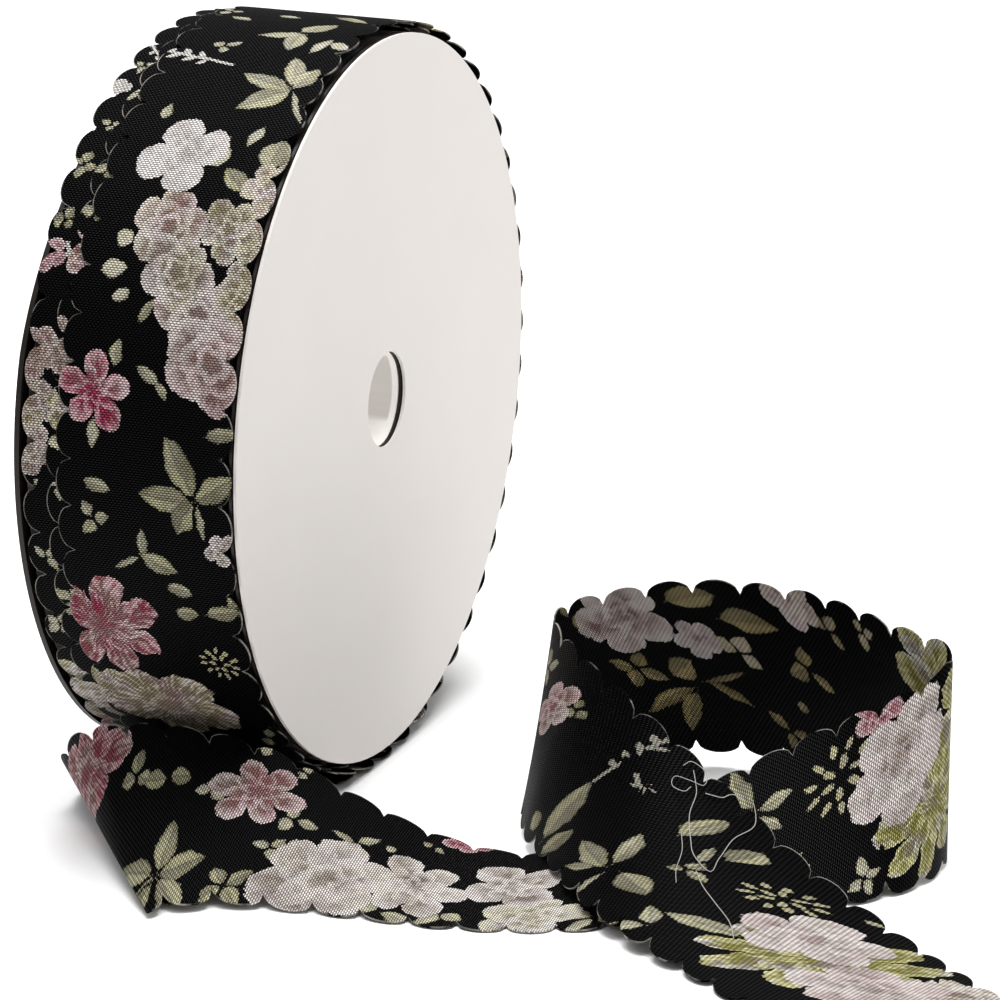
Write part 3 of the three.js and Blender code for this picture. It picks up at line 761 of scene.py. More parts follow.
@dataclass(frozen=True)
class CoatedCard:
    """Smooth white card, calendered, with a few faint specks in its face."""

    name: str = "coated_white_card"
    face: str = "d8d3cf"
    speck: str = "b9b2ab"

    def build(self) -> bpy.types.Material:
        """Returns the material: nearly even white, with a soft gloss that keeps it from looking chalky."""
        material, graph = new_material(self.name)
        add = graph.add
        place = add("TexCoord", (), "Object")
        cloud = add("TexNoise", {"Vector": place, "Scale": 22.0, "Detail": 3.0})
        tone = add("Mix", {0: add("MapRange", {0: cloud, 1: 0.3, 2: 0.7, 3: 0.0, 4: 0.5}),
                           6: linear(self.face), 7: linear("d1cbc7")}, 2, data_type="RGBA")
        spots = add("TexVoronoi", {"Vector": place, "Scale": 85.0}, "Distance")
        small = add("MapRange", {0: spots, 1: 0.045, 2: 0.02})
        chance = add("TexNoise", {"Vector": place, "Scale": 60.0})
        small = add("Math", [small, add("Math", [chance, 0.6], operation="GREATER_THAN")], operation="MULTIPLY")
        tone = add("Mix", {0: small, 6: tone, 7: linear(self.speck)}, 2, data_type="RGBA")
        grain = add("TexNoise", {"Vector": place, "Scale": 1800.0, "Detail": 2.0})
        bump = add("Bump", {"Strength": 0.08, "Distance": 0.02 * MM, "Height": grain})
        shader = add("BsdfPrincipled", {"Base Color": tone, "Roughness": 0.55, "Normal": bump,
                                        "Specular IOR Level": 0.4})
        graph.add("OutputMaterial", {"Surface": shader})
        return material


@dataclass(frozen=True)
class DarkPolystyrene:
    """Thin sheet of dark polystyrene, cut by a die."""

    name: str = "dark_polystyrene_sheet"
    face: str = "17130f"

    def build(self) -> bpy.types.Material:
        """Returns the material: near-black with an even satin gloss and fine scuffs."""
        material, graph = new_material(self.name)
        add = graph.add
        place = add("TexCoord", (), "Object")
        scuff = add("TexNoise", {"Vector": place, "Scale": 240.0, "Detail": 4.0})
        tone = add("Mix", {0: scuff, 6: linear(self.face), 7: linear("211c19")}, 2, data_type="RGBA")
        rough = add("MapRange", {0: scuff, 1: 0.3, 2: 0.7, 3: 0.28, 4: 0.45})
        shader = add("BsdfPrincipled", {"Base Color": tone, "Roughness": rough, "IOR": 1.59,
                                        "Specular IOR Level": 0.2})
        graph.add("OutputMaterial", {"Surface": shader})
        return material


@dataclass(frozen=True)
class SpunThread:
    """Ends of thin polyester thread, pulled out of the cut edge."""

    name: str = "polyester_thread"
    face: str = "aaa6a0"

    def build(self) -> bpy.types.Material:
        """Returns the material: off-white, soft and matt."""
        material, graph = new_material(self.name)
        shader = graph.add("BsdfPrincipled", {"Base Color": linear(self.face), "Roughness": 0.7,
                                              "Specular IOR Level": 0.3})
        graph.add("OutputMaterial", {"Surface": shader})
        return material


@dataclass(frozen=True)
class PaperTube:
    """Spiral-wound white paper tube."""

    name: str = "white_paper_tube"
    face: str = "f4f1ee"
    # Colour of the painted shade in the bore
    shade: str = "c9c5c1"

    def build(self) -> bpy.types.Material:
        """Returns the material: matt white at its mouth, painted shade in the bore, a faint painted glow."""
        material, graph = new_material(self.name)
        add = graph.add
        place = add("TexCoord", (), "Object")
        fibre = add("TexNoise", {"Vector": place, "Scale": 900.0, "Detail": 3.0})
        x, z = add("SeparateXYZ", [place], 0), add("SeparateXYZ", [place], 2)
        # Painted shade: the bore's wall greys from just inside the mouth, standing for the shade deep in the hole.
        inside = add("MapRange", {0: x, 1: 17.5 * MM, 2: 17.1 * MM})
        height = add("Math", [add("Math", [z, AXIS_HEIGHT * MM], operation="SUBTRACT")], operation="ABSOLUTE")
        inside = add("Math", [inside, add("MapRange", {0: height, 1: 6.3 * MM, 2: 5.3 * MM})], operation="MULTIPLY")
        tone = add("Mix", {0: inside, 6: linear(self.face), 7: linear(self.shade)}, 2, data_type="RGBA")
        bump = add("Bump", {"Strength": 0.15, "Distance": 0.03 * MM, "Height": fibre})
        # The emission is a painted glow in place of light bounced in from the white walls.
        shader = add("BsdfPrincipled", {"Base Color": tone, "Roughness": 0.7, "Normal": bump,
                                        "Emission Color": tone, "Emission Strength": 0.22})
        graph.add("OutputMaterial", {"Surface": shader})
        return material


@dataclass(frozen=True)
class WoundEdges:
    """The side of the wound ribbon: many cut edges, one on another."""

    name: str = "wound_ribbon_edges"
    cloth: str = "0d0b0c"
    cut: str = "5d4a44"

    def build(self) -> bpy.types.Material:
        """Returns the material: rings of dark cloth with thin lighter cut edges between them."""
        material, graph = new_material(self.name)
        add = graph.add
        place = add("TexCoord", (), "Object")
        shifted = add("VectorMath", [place, (0.0, 0.0, AXIS_HEIGHT * MM)], operation="SUBTRACT")
        y, z = add("SeparateXYZ", [shifted], 1), add("SeparateXYZ", [shifted], 2)
        radius = add("VectorMath", [add("CombineXYZ", [y, z])], "Value", operation="LENGTH")
        blur = add("TexNoise", {"Vector": place, "Scale": 180.0, "Detail": 2.0})
        wave = add("Math", [radius, 2 * math.pi / (0.5 * MM), add("Math", [blur, 5.0], operation="MULTIPLY")],
                   operation="MULTIPLY_ADD")
        wave = add("Math", [add("Math", [wave], operation="SINE"), 0.5, 0.5], operation="MULTIPLY_ADD")
        ragged = add("TexNoise", {"Vector": place, "Scale": 420.0, "Detail": 3.0})
        ragged = add("MapRange", {0: ragged, 1: 0.45, 2: 0.65})
        amount = add("Math", [add("Math", [wave, 4.0], operation="POWER"), ragged], operation="MULTIPLY")
        tone = add("Mix", {0: amount, 6: linear(self.cloth), 7: linear(self.cut)}, 2, data_type="RGBA")
        bump = add("Bump", {"Strength": 0.6, "Distance": 0.2 * MM, "Height": wave})
        shader = add("BsdfPrincipled", {"Base Color": tone, "Roughness": 0.8, "Normal": bump})
        graph.add("OutputMaterial", {"Surface": shader})
        return material


# --- sheets --------------------------------------------------------------------------------------


def scallop_inset(phase: np.ndarray) -> np.ndarray:
    """How far the cut edge draws in from its tips, in millimetres, at a share of a scallop."""
    across = 2 * (phase - np.floor(phase)) - 1
    return SCALLOP_DEPTH * (1 - np.sqrt(np.maximum(0, 1 - across * across)))


@dataclass
class Line:
    """One line of points along a sheet: its place along, across and to the nearest cut edge."""

    along: np.ndarray
    across: np.ndarray
    edge: np.ndarray


class RolledSurface:
    """The middle surface of a wound turn. along is millimetres from the top down over the front."""

    def __init__(self, rows: Sequence[tuple[float, float, float]], drop: float) -> None:
        """Takes the turn's form.

        Args:
            rows: angle from the top over the back in degrees, outer radius and left edge, in
                millimetres, over one whole turn.
            drop: how far this turn lies under the outermost one's radius.
        """
        self.rows = rows
        self.drop = drop
        self.length = 2 * math.pi * AXIS_HEIGHT

    def at_angle(self, angle: np.ndarray, column: int) -> np.ndarray:
        """Returns a column of the rows at angles in degrees, eased between the rows."""
        spacing = 360 / len(self.rows)
        spot = (angle % 360) / spacing
        row = np.floor(spot).astype(int) % len(self.rows)
        share = spot - np.floor(spot)
        eased = share * share * (3 - 2 * share)
        values = np.array([r[column] for r in self.rows])
        return values[row] * (1 - eased) + values[(row + 1) % len(self.rows)] * eased

    def place(self, along: np.ndarray, across: np.ndarray) -> np.ndarray:
        """Returns points in millimetres at places along and across the turn."""
        angle = 360 - np.degrees(along / AXIS_HEIGHT)
        radius = self.at_angle(angle, 1) - self.drop
        turn = np.radians(angle)
        x = self.at_angle(angle, 2) + across
        z = AXIS_HEIGHT + radius * np.cos(turn)
        return np.stack([x, radius * np.sin(turn), np.maximum(CLOTH_THICKNESS / 2 + 0.02, z)], axis=1)

    def outward(self, along: np.ndarray, across: np.ndarray) -> np.ndarray:
        """Returns unit normals that point away from the roll."""
        turn = np.radians(360 - np.degrees(along / AXIS_HEIGHT))
        return np.stack([np.zeros_like(turn), np.sin(turn), np.cos(turn)], axis=1)


class LaidRow(NamedTuple):
    """A place along the loose end: its edge near the floor and its other edge, in millimetres."""

    low: tuple[float, float, float]
    high: tuple[float, float, float]


LYING = 0.2
ON_TOP = 1.1
LOOSE_ROWS = [
    LaidRow((18, 0, LYING), (-19, 0, LYING)),
    LaidRow((18, -15, LYING), (-19, -15, LYING)),
    LaidRow((18, -34, LYING), (-20, -20, LYING)),
    LaidRow((16, -60, LYING), (-21, -26, LYING)),
    LaidRow((14, -81, LYING), (-23, -36, 3.5)),
    LaidRow((13, -85, 0.9), (-22.5, -43, 9.5)),
    LaidRow((14.5, -84, ON_TOP), (-18, -46, 15)),
    LaidRow((18, -80, ON_TOP), (-9.5, -48.5, 18.5)),
    LaidRow((25, -76, 0.8), (5, -50.5, 20.5)),
    LaidRow((34, -74, LYING), (19.5, -49, 18)),
    LaidRow((46, -73, LYING), (33, -46, 11)),
    LaidRow((59, -72, LYING), (48, -42, 4)),
    LaidRow((74, -68, LYING), (62.5, -39, 2.0)),
    LaidRow((88, -60, LYING), (76, -33, 5.6)),
    LaidRow((104, -49, LYING), (90.5, -24.5, 14.5)),
    LaidRow((117, -38, LYING), (104.5, -14.5, 21.5)),
    LaidRow((125, -26, LYING), (120, -11, 30)),
    LaidRow((126, -13, LYING), (124, -5.5, 34.5)),
    LaidRow((117, 3, 1.3), (110, 3, 35.5)),
    LaidRow((98, 15, 2.2), (92, 12, 36)),
    LaidRow((77, 19, 2.4), (75, 12, 36)),
    LaidRow((60, 10, 1.4), (61, 2, 35.5)),
    LaidRow((50.5, -7, 0.5), (56, -12, 35.5)),
    LaidRow((56, -28, 1.1), (66, -27.5, 34.5)),
    LaidRow((66, -43, 2.2), (77.5, -35, 30.5)),
    LaidRow((77, -57, 2.4), (87.5, -38, 25)),
    LaidRow((90, -69, 2.0), (98, -39.5, 17.5)),
    LaidRow((103, -77, 0.7), (111.5, -43, 9)),
    LaidRow((117, -87, LYING), (130, -49, 1.0)),
    LaidRow((132, -98, LYING), (151, -66, LYING)),
    LaidRow((146, -110, LYING), (166, -79, LYING)),
]


class LooseSurface:
    """The middle surface of the loose end, ruled between two smooth edges."""

    samples = 60

    def __init__(self, rows: Sequence[LaidRow]) -> None:
        """Draws both edges through the rows.

        Args:
            rows: the places that the edges pass.
        """
        self.low = self.smooth([row.low for row in rows])
        self.high = self.smooth([row.high for row in rows])
        self.low_length = self.measure(self.low)
        self.high_length = self.measure(self.high)
        self.shares = np.linspace(0, 1, len(self.low))

    def smooth(self, points: Sequence[tuple[float, float, float]]) -> np.ndarray:
        """Returns a centripetal Catmull-Rom curve through points, as dense samples."""
        inner = np.array(points, dtype=float)
        ends = [2 * inner[0] - inner[1]], [2 * inner[-1] - inner[-2]]
        whole = np.concatenate([ends[0], inner, ends[1]])
        made = []
        for at in range(1, len(whole) - 2):
            a, b, c, d = whole[at - 1:at + 3]
            first, second, third = [max(1e-4, np.linalg.norm(q - p) ** 0.5) for p, q in ((a, b), (b, c), (c, d))]
            leave = ((b - a) / first - (c - a) / (first + second) + (c - b) / second) * second
            reach = ((c - b) / second - (d - b) / (second + third) + (d - c) / third) * second
            steps = self.samples + (1 if at == len(whole) - 3 else 0)
            t = (np.arange(steps) / self.samples)[:, None]
            made.append(b + leave * t + (3 * c - 3 * b - 2 * leave - reach) * t ** 2
                        + (2 * b - 2 * c + leave + reach) * t ** 3)
        return np.concatenate(made)

    def measure(self, curve: np.ndarray) -> np.ndarray:
        """Returns the length of a curve up to each of its samples."""
        return np.concatenate([[0], np.cumsum(np.linalg.norm(np.diff(curve, axis=0), axis=1))])

    def edge_points(self, share: np.ndarray, curve: np.ndarray) -> np.ndarray:
        """Returns points of an edge at shares of the rows."""
        return np.stack([np.interp(share, self.shares, curve[:, axis]) for axis in range(3)], axis=1)

    def place(self, share: np.ndarray, across: np.ndarray) -> np.ndarray:
        """Returns points in millimetres at shares of the rows and at distances from the low edge."""
        low, high = self.edge_points(share, self.low), self.edge_points(share, self.high)
        part = (across / LOOSE_WIDTH)[:, None]
        return low * (1 - part) + high * part

    def outward(self, share: np.ndarray, across: np.ndarray) -> np.ndarray:
        """Returns unit normals on the printed side."""
        reach = 0.0012
        ahead = self.place(np.minimum(1, share + reach), across) - self.place(np.maximum(0, share - reach), across)
        over_it = self.edge_points(share, self.high) - self.edge_points(share, self.low)
        normal = np.cross(ahead, over_it)
        return normal / np.linalg.norm(normal, axis=1)[:, None]

    def along(self, share: np.ndarray, across: np.ndarray) -> np.ndarray:
        """Returns millimetres along the cloth at places on the sheet."""
        part = across / LOOSE_WIDTH
        low = np.interp(share, self.shares, self.low_length)
        high = np.interp(share, self.shares, self.high_length)
        return low * (1 - part) + high * part


@dataclass
class ScallopedSheet:
    """A thin two-sided sheet of ribbon, cut in scallops along both edges."""

    name: str
    surface: Any
    lines: list[Line]
    chart: list[Motif]
    thickness: float = CLOTH_THICKNESS
    materials: list[bpy.types.Material] = field(default_factory=list)

    def triangles_between(self, low: Line, high: Line, low_start: int, high_start: int) -> list[list[int]]:
        """Fills the strip between two lines that may have different steps.

        Args:
            low: the first line.
            high: the second line.
            low_start: the number of the first line's first point.
            high_start: the number of the second line's first point.

        Returns:
            Triangles as lists of three point numbers.
        """
        made, i, j = [], 0, 0
        while i < len(low.along) - 1 or j < len(high.along) - 1:
            low_next = low.along[i + 1] if i < len(low.along) - 1 else math.inf
            high_next = high.along[j + 1] if j < len(high.along) - 1 else math.inf
            if low_next <= high_next:
                made.append([low_start + i, low_start + i + 1, high_start + j])
                i += 1
            else:
                made.append([low_start + i, high_start + j + 1, high_start + j])
                j += 1
        return made

    def cloth_place(self, line: Line) -> np.ndarray:
        """Returns each point's millimetres along, across and to the cut edge."""
        along = self.surface.along(line.along, line.across) if hasattr(self.surface, "along") else line.along
        return np.stack([along, line.across, line.edge], axis=1)

    def build(self) -> bpy.types.Object:
        """Makes the mesh with its chart of motifs.

        Returns:
            The finished object.
        """
        starts = np.concatenate([[0], np.cumsum([len(line.along) for line in self.lines])]).astype(int)
        along = np.concatenate([line.along for line in self.lines])
        across = np.concatenate([line.across for line in self.lines])
        cloth = np.concatenate([self.cloth_place(line) for line in self.lines])
        middle = self.surface.place(along, across)
        normal = self.surface.outward(along, across)
        count = len(middle)
        top = middle + normal * self.thickness / 2
        under = middle - normal * self.thickness / 2
        points = np.concatenate([top, under])
        points[:, 2] = np.maximum(points[:, 2], 0.02)
        faces = []
        for at in range(len(self.lines) - 1):
            faces += self.triangles_between(self.lines[at], self.lines[at + 1], starts[at], starts[at + 1])
        face_side = np.array(faces)
        if self.turned(points, face_side, normal):
            face_side = face_side[:, ::-1]
        under_side = face_side[:, ::-1] + count
        rims = self.rim_triangles(starts, count, points, face_side)
        triangles = np.concatenate([face_side, under_side, rims])
        mesh = bpy.data.meshes.new(self.name)
        mesh.from_pydata((points * MM).tolist(), [], triangles.tolist())
        sides = np.concatenate([np.zeros(len(face_side)), np.ones(len(under_side)), np.zeros(len(rims))])
        mesh.polygons.foreach_set("material_index", sides.astype(np.int32))
        mesh.polygons.foreach_set("use_smooth", np.ones(len(triangles), dtype=bool))
        for material in self.materials:
            mesh.materials.append(material)
        self.write_chart(mesh, np.concatenate([cloth, cloth]), triangles)
        mesh.update()
        piece = bpy.data.objects.new(self.name, mesh)
        bpy.context.collection.objects.link(piece)
        keep_crisp_rims(piece)
        LOG.info("%s: %d triangles, %d motifs", self.name, len(triangles), len(self.chart))
        return piece

    def turned(self, points: np.ndarray, faces: np.ndarray, normal: np.ndarray) -> bool:
        """Tells whether the faces look away from the printed side."""
        a, b, c = (points[faces[:, at]] for at in range(3))
        facing = np.einsum("ij,ij->i", np.cross(b - a, c - a), normal[faces[:, 0]])
        return bool(np.median(facing) < 0)

    def rim_triangles(self, starts: np.ndarray, count: int, points: np.ndarray, faces: np.ndarray) -> np.ndarray:
        """Closes the sheet round its border.

        Args:
            starts: the number of each line's first point; not used.
            count: the number of points on one side.
            points: all points; not used.
            faces: the triangles of the printed side.

        Returns:
            The rim's triangles.
        """
        edges = np.concatenate([faces[:, [0, 1]], faces[:, [1, 2]], faces[:, [2, 0]]])
        key = np.sort(edges, axis=1)
        _, first, uses = np.unique(key, axis=0, return_index=True, return_counts=True)
        border = edges[first[uses == 1]]
        a, b = border[:, 0], border[:, 1]
        return np.concatenate([np.stack([b, a, a + count], axis=1), np.stack([b, a + count, b + count], axis=1)])

    def write_chart(self, mesh: bpy.types.Mesh, cloth: np.ndarray, triangles: np.ndarray) -> None:
        """Stores, for each corner of each face, where it lies in the motif that covers the face.

        Args:
            mesh: the mesh to write on.
            cloth: each point's place on the cloth.
            triangles: the faces' point numbers.
        """
        corners = cloth[triangles]
        store(mesh, "cloth", corners)
        centres = corners.mean(axis=1)[:, :2]
        parts = {}
        for name, _ in LAYERS:
            parts[name] = {
                "nearest": np.full(len(triangles), np.inf),
                "place": np.full(corners.shape, 900.0),
                "form": np.ones(corners.shape),
                "tint": np.zeros(corners.shape),
            }
        for motif in self.chart:
            away = np.linalg.norm(centres - (motif.along, motif.across), axis=1) / motif.reach()
            choices = [parts[name] for name, kind in LAYERS if kind is motif.kind]
            layer = min(choices, key=lambda part: np.count_nonzero((away < 1) & (part["nearest"] < 1)))
            chosen = (away < 1) & (away < layer["nearest"])
            layer["nearest"][chosen] = away[chosen]
            turn = math.radians(motif.turn)
            local = corners[chosen][:, :, :2] - (motif.along, motif.across)
            x = local[:, :, 0] * math.cos(turn) + local[:, :, 1] * math.sin(turn) + motif.behind()
            y = local[:, :, 1] * math.cos(turn) - local[:, :, 0] * math.sin(turn)
            layer["place"][chosen] = np.stack([x, y, np.full_like(x, motif.seed)], axis=2)
            layer["form"][chosen] = motif.form
            layer["tint"][chosen] = motif.tint
        for name, _ in LAYERS:
            for part in ("place", "form", "tint"):
                store(mesh, f"{name}_{part}", parts[name][part])


def store(mesh: bpy.types.Mesh, name: str, corners: np.ndarray) -> None:
    """Writes a vector for each face corner of a mesh.

    Args:
        mesh: the mesh.
        name: the attribute's name.
        corners: one vector for each corner of each face.
    """
    layer = mesh.attributes.new(name, "FLOAT_VECTOR", "CORNER")
    layer.data.foreach_set("vector", corners.astype(np.float32).ravel())


def keep_crisp_rims(piece: bpy.types.Object) -> None:
    """Marks the sharp turn from a sheet's side to its rim, so that both shade as they are."""
    piece.data.set_sharp_from_angle(angle=math.radians(50))


def straight_lines(stations: np.ndarray, low: float, high: float, count: int) -> list[Line]:
    """Makes evenly spaced lines with the same stations.

    Args:
        stations: the places along the sheet.
        low: the first line's place across.
        high: the last line's place across.
        count: how many lines.

    Returns:
        The lines.
    """
    return [Line(stations, np.full(len(stations), across), np.full(len(stations), 3.0))
            for across in np.linspace(low, high, count)]


EDGE_BAND = 3.6
LIP = 0.32


@dataclass
class WoundRibbon:
    """The ribbon on the spool: a body of inner turns and the turns that show, as thin sheets."""

    # For each turn that shows: angle from the top over the back, outer radius and left edge
    outer_rows: tuple = (
        (0, 64.9, -12.6),
        (45, 65.4, -12.0),
        (90, 65.3, -12.0),
        (135, 65.7, -12.0),
        (180, 65.4, -12.0),
        (225, 64.3, -11.9),
        (270, 63.9, -12.0),
        (315, 64.2, -12.2),
    )
    second_rows: tuple = (
        (0, 64.9, -14.0),
        (45, 65.4, -15.0),
        (90, 65.3, -14.0),
        (135, 65.7, -14.5),
        (180, 65.4, -15.0),
        (225, 64.3, -15.0),
        (270, 63.9, -14.0),
        (315, 64.2, -14.0),
    )
    third_rows: tuple = (
        (0, 64.9, -17.2),
        (45, 65.4, -17.6),
        (90, 65.3, -17.8),
        (135, 65.7, -17.8),
        (180, 65.4, -17.4),
        (225, 64.3, -18.0),
        (270, 63.9, -18.6),
        (315, 64.2, -19.0),
    )
    steps: int = 12

    def turn_lines(self, length: float, left_phase: float, right_phase: float, inner: int) -> list[Line]:
        """Makes the lines of one whole turn.

        Args:
            length: the turn's length in millimetres.
            left_phase: where its left scallops start, as a share of one.
            right_phase: where its right scallops start.
            inner: how many lines lie between the edges.

        Returns:
            The lines from the left edge to the right one.
        """
        scallops = round(length / SCALLOP_PITCH)
        count = scallops * self.steps
        stations = np.linspace(0, length, count + 1)
        phase = np.arange(count + 1) / self.steps
        left = scallop_inset(phase + left_phase)
        right = scallop_inset(phase + right_phase)
        coarse = np.linspace(0, length, scallops * 5 + 1)
        width = RIBBON_WIDTH
        none = np.zeros(count + 1)
        lip = np.full(count + 1, LIP)
        return [
            Line(stations, left, none),
            Line(stations, left + LIP, lip),
            *straight_lines(coarse, EDGE_BAND, width - EDGE_BAND, inner),
            Line(stations, width - right - LIP, lip),
            Line(stations, width - right, none),
        ]

    def build(self, face: bpy.types.Material, reverse: bpy.types.Material,
              sides: bpy.types.Material) -> list[bpy.types.Object]:
        """Builds the wound pieces.

        Args:
            face: the printed side's finish.
            reverse: the other side's finish.
            sides: the finish of the body's stacked cut edges.

        Returns:
            The pieces, the outermost turn first.
        """
        made = []
        plan = (
            ("wound_outer_turn", self.outer_rows, 0.2, OUTER_CHART + scatter(196, 396, 31, SEED), 0.0, 0.33, 15),
            ("wound_second_turn", self.second_rows, 0.6, SECOND_CHART + scatter(160, 412, 31, SEED + 1), 0.5, 0.83, 9),
            ("wound_third_turn", self.third_rows, 1.0, THIRD_CHART + scatter(160, 412, 31, SEED + 2), 0.25, 0.6, 9),
        )
        for name, rows, drop, chart, left_phase, right_phase, inner in plan:
            surface = RolledSurface(rows, drop)
            lines = self.turn_lines(surface.length, left_phase, right_phase, inner)
            piece = ScallopedSheet(name, surface, lines, chart, materials=[face, reverse]).build()
            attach(piece, "root")
            made.append(piece)
        made.append(self.body(face, sides))
        return made

    def body(self, face: bpy.types.Material, sides: bpy.types.Material) -> bpy.types.Object:
        """Builds the inner turns as one thick ring with stepped sides."""
        inner_radius, steps = 12.8, 240
        surface = RolledSurface(self.outer_rows, 0.0)
        points, faces = [], []
        rings = 26
        outline_count = 2 * (rings + 1)
        draw = random.Random(SEED + 7)
        shifts = [(draw.uniform(0, 1.6), draw.uniform(0, 1.6)) for _ in range(rings + 1)]
        for step in range(steps):
            angle = 360 * step / steps
            turn = math.radians(angle)
            outer = float(surface.at_angle(np.array([angle]), 1)[0]) - 2.0
            row = []
            bend = BEND_DEPTH * max(0.0, math.cos(turn) - BEND_END) / (1 - BEND_END)
            for ring in range(rings + 1):
                radius = inner_radius + (outer - inner_radius) * ring / rings
                lean = bend * max(0.0, (radius - BEND_RADIUS) / (DISC_RADIUS - BEND_RADIUS))
                row.append((-18.6 + lean + shifts[ring][0], radius))
            for ring in range(rings, -1, -1):
                radius = inner_radius + (outer - inner_radius) * ring / rings
                row.append((18.2 - shifts[ring][1], radius))
            for x, radius in row:
                z = max(0.6, AXIS_HEIGHT + radius * math.cos(turn))
                points.append((x * MM, radius * math.sin(turn) * MM, z * MM))
        for step in range(steps):
            following = (step + 1) % steps
            for corner in range(outline_count):
                beside = (corner + 1) % outline_count
                faces.append((step * outline_count + corner, step * outline_count + beside,
                              following * outline_count + beside, following * outline_count + corner))
        mesh = bpy.data.meshes.new("wound_body")
        mesh.from_pydata(points, [], faces)
        mesh.materials.append(sides)
        mesh.update()
        piece = bpy.data.objects.new("wound_body", mesh)
        bpy.context.collection.objects.link(piece)
        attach(piece, "root")
        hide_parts("ribbon_roll")
        LOG.info("wound_body: %d faces", len(faces))
        return piece


@dataclass
class FarDisc:
    """The dark sheet on the far side, pressed in at its top; its bend is rounder than the solid's."""

    outside: float = -20.0
    inside: float = -19.1
    hole: float = 8.3
    steps: int = 180
    rings: int = 18

    def lean(self, turn: float, radius: float) -> float:
        """Returns how far the sheet is pressed in at a place, in millimetres."""
        top = max(0.0, math.cos(turn) - BEND_END) / (1 - BEND_END)
        out = max(0.0, radius - BEND_RADIUS) / (DISC_RADIUS - BEND_RADIUS)
        return BEND_DEPTH * top ** 1.25 * out ** 1.15

    def build(self, material: bpy.types.Material) -> bpy.types.Object:
        """Builds the disc.

        Args:
            material: its finish.

        Returns:
            The piece.
        """
        out = [self.hole + (DISC_RADIUS - self.hole) * at / self.rings for at in range(self.rings + 1)]
        outline = [(self.outside, radius) for radius in out] + [(self.inside, radius) for radius in reversed(out)]
        points, faces = [], []
        for step in range(self.steps):
            turn = 2 * math.pi * step / self.steps
            following = (step + 1) % self.steps
            for corner, (x, radius) in enumerate(outline):
                points.append(((x + self.lean(turn, radius)) * MM, radius * math.sin(turn) * MM,
                               (AXIS_HEIGHT + radius * math.cos(turn)) * MM))
                beside = (corner + 1) % len(outline)
                faces.append((step * len(outline) + corner, step * len(outline) + beside,
                              following * len(outline) + beside, following * len(outline) + corner))
        mesh = bpy.data.meshes.new("far_disc")
        mesh.from_pydata(points, [], faces, shade_flat=False)
        mesh.materials.append(material)
        mesh.update()
        piece = bpy.data.objects.new("far_disc", mesh)
        bpy.context.collection.objects.link(piece)
        keep_crisp_rims(piece)
        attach(piece, "root")
        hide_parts("back_flange")
        LOG.info("far_disc: %d faces", len(faces))
        return piece


@dataclass
class LooseEnd:
    """The loose end, one sheet from the roll over the fold and the curl to its cut end."""

    name: str = "loose_end"
    steps: int = 12

    def lines(self, surface: LooseSurface) -> list[Line]:
        """Makes the sheet's lines, from the edge near the floor to the other one.

        Args:
            surface: the surface that they lie on.

        Returns:
            The lines.
        """
        edges = []
        for length in (surface.low_length, surface.high_length):
            count = round(length[-1] / SCALLOP_PITCH) * self.steps
            stations = np.interp(np.linspace(0, length[-1], count + 1), length, surface.shares)
            edges.append((stations, scallop_inset(np.arange(count + 1) / self.steps)))
        (low, low_inset), (high, high_inset) = edges
        coarse = np.linspace(0, 1, 421)
        return [
            Line(low, low_inset, np.zeros(len(low))),
            Line(low, low_inset + LIP, np.full(len(low), LIP)),
            *straight_lines(coarse, EDGE_BAND, LOOSE_WIDTH - EDGE_BAND, 17),
            Line(high, LOOSE_WIDTH - high_inset - LIP, np.full(len(high), LIP)),
            Line(high, LOOSE_WIDTH - high_inset, np.zeros(len(high))),
        ]

    def build(self, face: bpy.types.Material, reverse: bpy.types.Material,
              thread: bpy.types.Material) -> bpy.types.Object:
        """Builds the sheet and its loose threads.

        Args:
            face: the printed side's finish.
            reverse: the other side's finish.
            thread: the loose threads' finish.

        Returns:
            The piece.
        """
        surface = LooseSurface(LOOSE_ROWS)
        chart = [move(motif, 15) for motif in LOOSE_CHART] + scatter(0, 50, LOOSE_WIDTH, SEED + 3)
        piece = ScallopedSheet(self.name, surface, self.lines(surface), chart, materials=[face, reverse]).build()
        threads = LooseThreads().build(surface, thread)
        length = (surface.low_length[-1] + surface.high_length[-1]) / 2
        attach(piece, "root")
        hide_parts("ribbon_tail")
        LOG.info("%s: %.0f mm long", self.name, length)
        return piece


class Thread(NamedTuple):
    """A thread's radius, and the places that it passes: row of the loose end, across and lift in millimetres."""

    radius: float
    places: tuple[tuple[float, float, float], ...]


